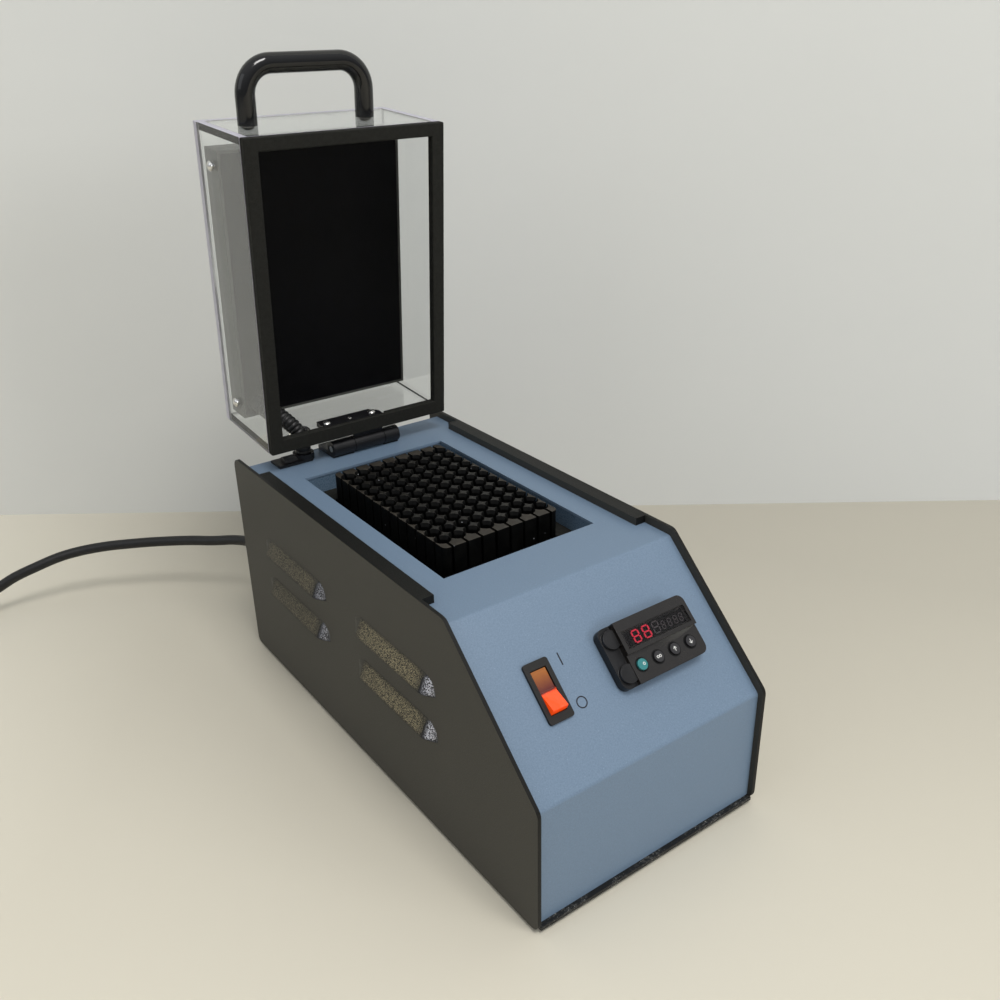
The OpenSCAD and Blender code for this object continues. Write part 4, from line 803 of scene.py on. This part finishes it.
for side in ("left_side_panel", "right_side_panel"):
    softened(side, PANEL_COAT, 0.3 * MM, extra=(EDGE_COAT, LOUVRE_PAINTED_LIGHT, NOSE_PAINTED_HIGHLIGHT),
             choose=panel_finish, flat=SIDEWAYS)
softened("lid_top_plate", ACRYLIC, 0.3 * MM, extra=(SAWN_EDGE,), choose=sheet_edges(LID_BACK))
softened("lid_side_plates", ACRYLIC, 0.3 * MM, extra=(SAWN_EDGE,), choose=sheet_edges(SIDEWAYS))
softened("lid_end_plates", ACRYLIC, 0.3 * MM, extra=(SAWN_EDGE,), choose=sheet_edges(LID_UP))
softened("controller_front", BLACK_PLASTIC, 0.8 * MM, segments=3, extra=(SMOKY_BROWN,),
         choose=controller_finish)
softened("well_posts", BLACK_BLOCK, 0.12 * MM, extra=(POST_TOP, INNER_TOP), choose=post_finish)

for node, material, width in (
    ("top_cover", BLUE_COAT, 0.3), ("base_pan", DUSTY_COAT, 0.3), ("rear_panel", EDGE_COAT, 0.3),
    ("chamber_liner", LINER_COAT, 0.4), ("lid_gasket", FOAM_RUBBER, 0.7),
    ("lid_heater_box", FOLDED_GREY, 0.5), ("hinge_body_leaf", BLACK_PLASTIC, 0.3),
    ("hinge_lid_leaf", BLACK_PLASTIC, 0.3), ("switch_housing", BEZEL_GREY, 0.4),
    ("switch_rocker", ROCKER_LIT, 0.5), ("cable_gland", BLACK_PLASTIC, 0.4),
):
    softened(node, material, width * MM)


# Controller: unlit digits, rings of painted shade round the keys and the keys' white signs

# Heights above the slope of the display's black backing, the keys' panel and the keys' tops
BACKING_H, KEY_FACE_H, KEY_TOP_H = 7.55 * MM, 7.4 * MM, 8.3 * MM

# The display's middle and its backing's two sides; the painted shade rings' radii; the print's lift and line
WINDOW_S, BACKING_W, BACKING_L = 5.5 * MM, 37.6 * MM, 6.6 * MM
SHADE_RING_IN, SHADE_RING_OUT, PRINT_T, LINE_W = 3.02 * MM, 3.75 * MM, 0.02 * MM, 0.35 * MM

# The keys' middles on the controller
KEY_X = [(-17.1 + 10.6 * k) * MM for k in range(4)]
KEY_S = -7.6 * MM


def on_controller(x, s, h):
    """A point of the controller's brown part: x right and s up from its middle, h above the slope."""
    return on_slope(CTRL_X + MAIN_SHIFT + x, CTRL_S + s, h)


def flat_strips(name, strips, height, material, body):
    """Thin flat strips on the controller: each runs between two points and has its own width."""
    verts, faces = [], []
    for (x0, s0), (x1, s1), width in strips:
        ahead = np.array([x1 - x0, s1 - s0]) / np.hypot(x1 - x0, s1 - s0)
        aside = np.array([-ahead[1], ahead[0]]) * width / 2
        for end, turn in (((x0, s0), 1), ((x0, s0), -1), ((x1, s1), -1), ((x1, s1), 1)):
            verts.append(on_controller(*(np.array(end) + turn * aside), height))
        faces.append([len(verts) - 4 + k for k in range(4)])
    return piece(name, verts, faces, material, body, smooth=False)


def bars(x, s, wide, tall, bar):
    """The seven strips of one digit, leaning a little to the right."""
    w, t = wide / 2, tall / 2
    ends = ((-w, t, w, t), (w, t, w, 0), (w, 0, w, -t), (-w, -t, w, -t),
            (-w, 0, -w, -t), (-w, t, -w, 0), (-w, 0, w, 0))
    out = []
    for x0, s0, x1, s1 in ends:
        trim = 0.6 * bar / np.hypot(x1 - x0, s1 - s0)
        x0, x1 = x0 + trim * (x1 - x0), x1 - trim * (x1 - x0)
        s0, s1 = s0 + trim * (s1 - s0), s1 - trim * (s1 - s0)
        out.append(((x + x0 + 0.08 * s0, s + s0), (x + x1 + 0.08 * s1, s + s1), bar))
    return out


def rings(name, places, inner, outer, height, material, body, steps=40):
    """Flat rings on the controller: two circles of points for each place."""
    angle = np.linspace(0, 2 * pi, steps, endpoint=False)
    verts, faces = [], []
    for x, s in places:
        base = len(verts)
        for r in (inner, outer):
            verts += [on_controller(x + r * cos(a), s + r * sin(a), height) for a in angle]
        faces += [[base + k, base + steps + k, base + steps + (k + 1) % steps, base + (k + 1) % steps]
                  for k in range(steps)]
    return piece(name, verts, faces, material, body, smooth=False)


def controller_details():
    """What shows on the controller besides its own solids; each key's sign rides on its key."""
    backing = ((-BACKING_W / 2, WINDOW_S), (BACKING_W / 2, WINDOW_S), BACKING_L)
    flat_strips("display_backing", [backing], BACKING_H, BACKING_AND_SHADE_BLACK, "case")
    ghosts = bars(0.6 * MM, WINDOW_S, 3.6 * MM, 5.6 * MM, 0.6 * MM)
    for x in (5.2, 9.3, 13.3, 17.0):
        ghosts += bars(x * MM, WINDOW_S - 0.5 * MM, 2.0 * MM, 3.8 * MM, 0.4 * MM)
    flat_strips("unlit_digits", ghosts, BACKING_H + 0.05 * MM, GHOST_DIGIT, "case")
    # Painted shade: a dark ring round each key, where its recess falls in shadow
    rings("key_shade_rings", [(x, KEY_S) for x in KEY_X], SHADE_RING_IN, SHADE_RING_OUT, KEY_FACE_H + PRINT_T,
          BACKING_AND_SHADE_BLACK, "case")
    top = KEY_TOP_H + PRINT_T
    rings("key_1_sign", [(KEY_X[0] + 0.9 * MM, KEY_S)], 0.45 * MM, 0.75 * MM, top,
          WHITE_INK, BODY_OF["key_1"], steps=20)
    rings("key_2_sign", [(KEY_X[1] + d * MM, KEY_S) for d in (-0.75, 0.75)], 0.42 * MM, 0.72 * MM, top,
          WHITE_INK, BODY_OF["key_2"], steps=20)
    for node, x, way in (("key_3", KEY_X[2], 1), ("key_4", KEY_X[3], -1)):
        tip = (x, KEY_S + way * 1.1 * MM)
        ends = ((x, KEY_S - way * 1.2 * MM), (x - 0.9 * MM, KEY_S + way * 0.1 * MM),
                (x + 0.9 * MM, KEY_S + way * 0.1 * MM))
        flat_strips(node + "_sign", [(tip, end, LINE_W) for end in ends], top, WHITE_INK, BODY_OF[node])


controller_details()


# Handle

def handle():
    """A bar bent twice: two legs, two quarter bends and a top, swept as one tube."""
    radius, span, height, bend = 5.4 * MM, 72 * MM, 36 * MM, 15.5 * MM
    depth, left = 38 * MM, 5.2 * MM
    top = height - radius
    quarter = np.linspace(0, pi / 2, 13)
    right = np.stack([span / 2 - bend + bend * np.cos(quarter), top - bend + bend * np.sin(quarter)], 1)
    half = np.vstack([[span / 2, 0], [span / 2, (top - bend) / 2], right])
    flat = np.vstack([half, (half * [-1, 1])[::-1]])
    path = [in_lid(x - left, LID_L + v, depth) for x, v in flat]
    bar = tube("handle_bar", path, radius, GLOSS_BLACK, "lid", sides=32, reference=LID_BACK)
    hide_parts("lid_handle")


handle()


# Lid cable: its points, closed lid's x, v and n in millimetres, are those of the part's source

CABLE_IN_LID = [(-46, 16, 42.5), (-46, 16, 37.5), (-46, 15.8, 32.5), (-44.6, 14.2, 27.5), (-42, 11.4, 23),
                (-38.6, 7.4, 19), (-35.8, 2.6, 16.4), (-34.6, -1.2, 15.4)]
GLAND_X, GLAND_Y, COVER_TOP = -34.5 * MM, HINGE[1] + 9.3 * MM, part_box("cable_gland")[0][2]

# The sleeve's rings stand SLEEVE_STEP apart; its ribs rise RIB_H above RIB_FOOT, both in millimetres
SLEEVE_STEP, RIB_PITCH, RIB_FOOT, RIB_H = 0.3 * MM, 2.5 * MM, 4.2, 0.75


def lid_cable():
    """A ribbed sleeve: the tube's radius swings once for each rib along its length."""
    points = [in_lid(*(np.array(point) * MM)) for point in CABLE_IN_LID]
    down = [np.array([GLAND_X, GLAND_Y, z]) for z in (HINGE[2] + 4 * MM, HINGE[2] - 1 * MM, COVER_TOP)]
    path = smooth_path(points + down, 40)
    run = np.concatenate([[0], np.cumsum(np.linalg.norm(np.diff(path, axis=0), axis=1))])
    even = np.linspace(0, run[-1], int(run[-1] / SLEEVE_STEP))
    path = np.stack([np.interp(even, run, path[:, k]) for k in range(3)], 1)
    wave = np.sqrt(np.abs(np.sin(pi * even / RIB_PITCH)))
    radius = (RIB_FOOT + RIB_H * wave) * MM
    cable = tube("lid_cable_sleeve", path, radius, CORD_PVC, None, sides=20, reference=SIDEWAYS, sharp=60)
    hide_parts("lid_cable")
    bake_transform(cable)


lid_cable()
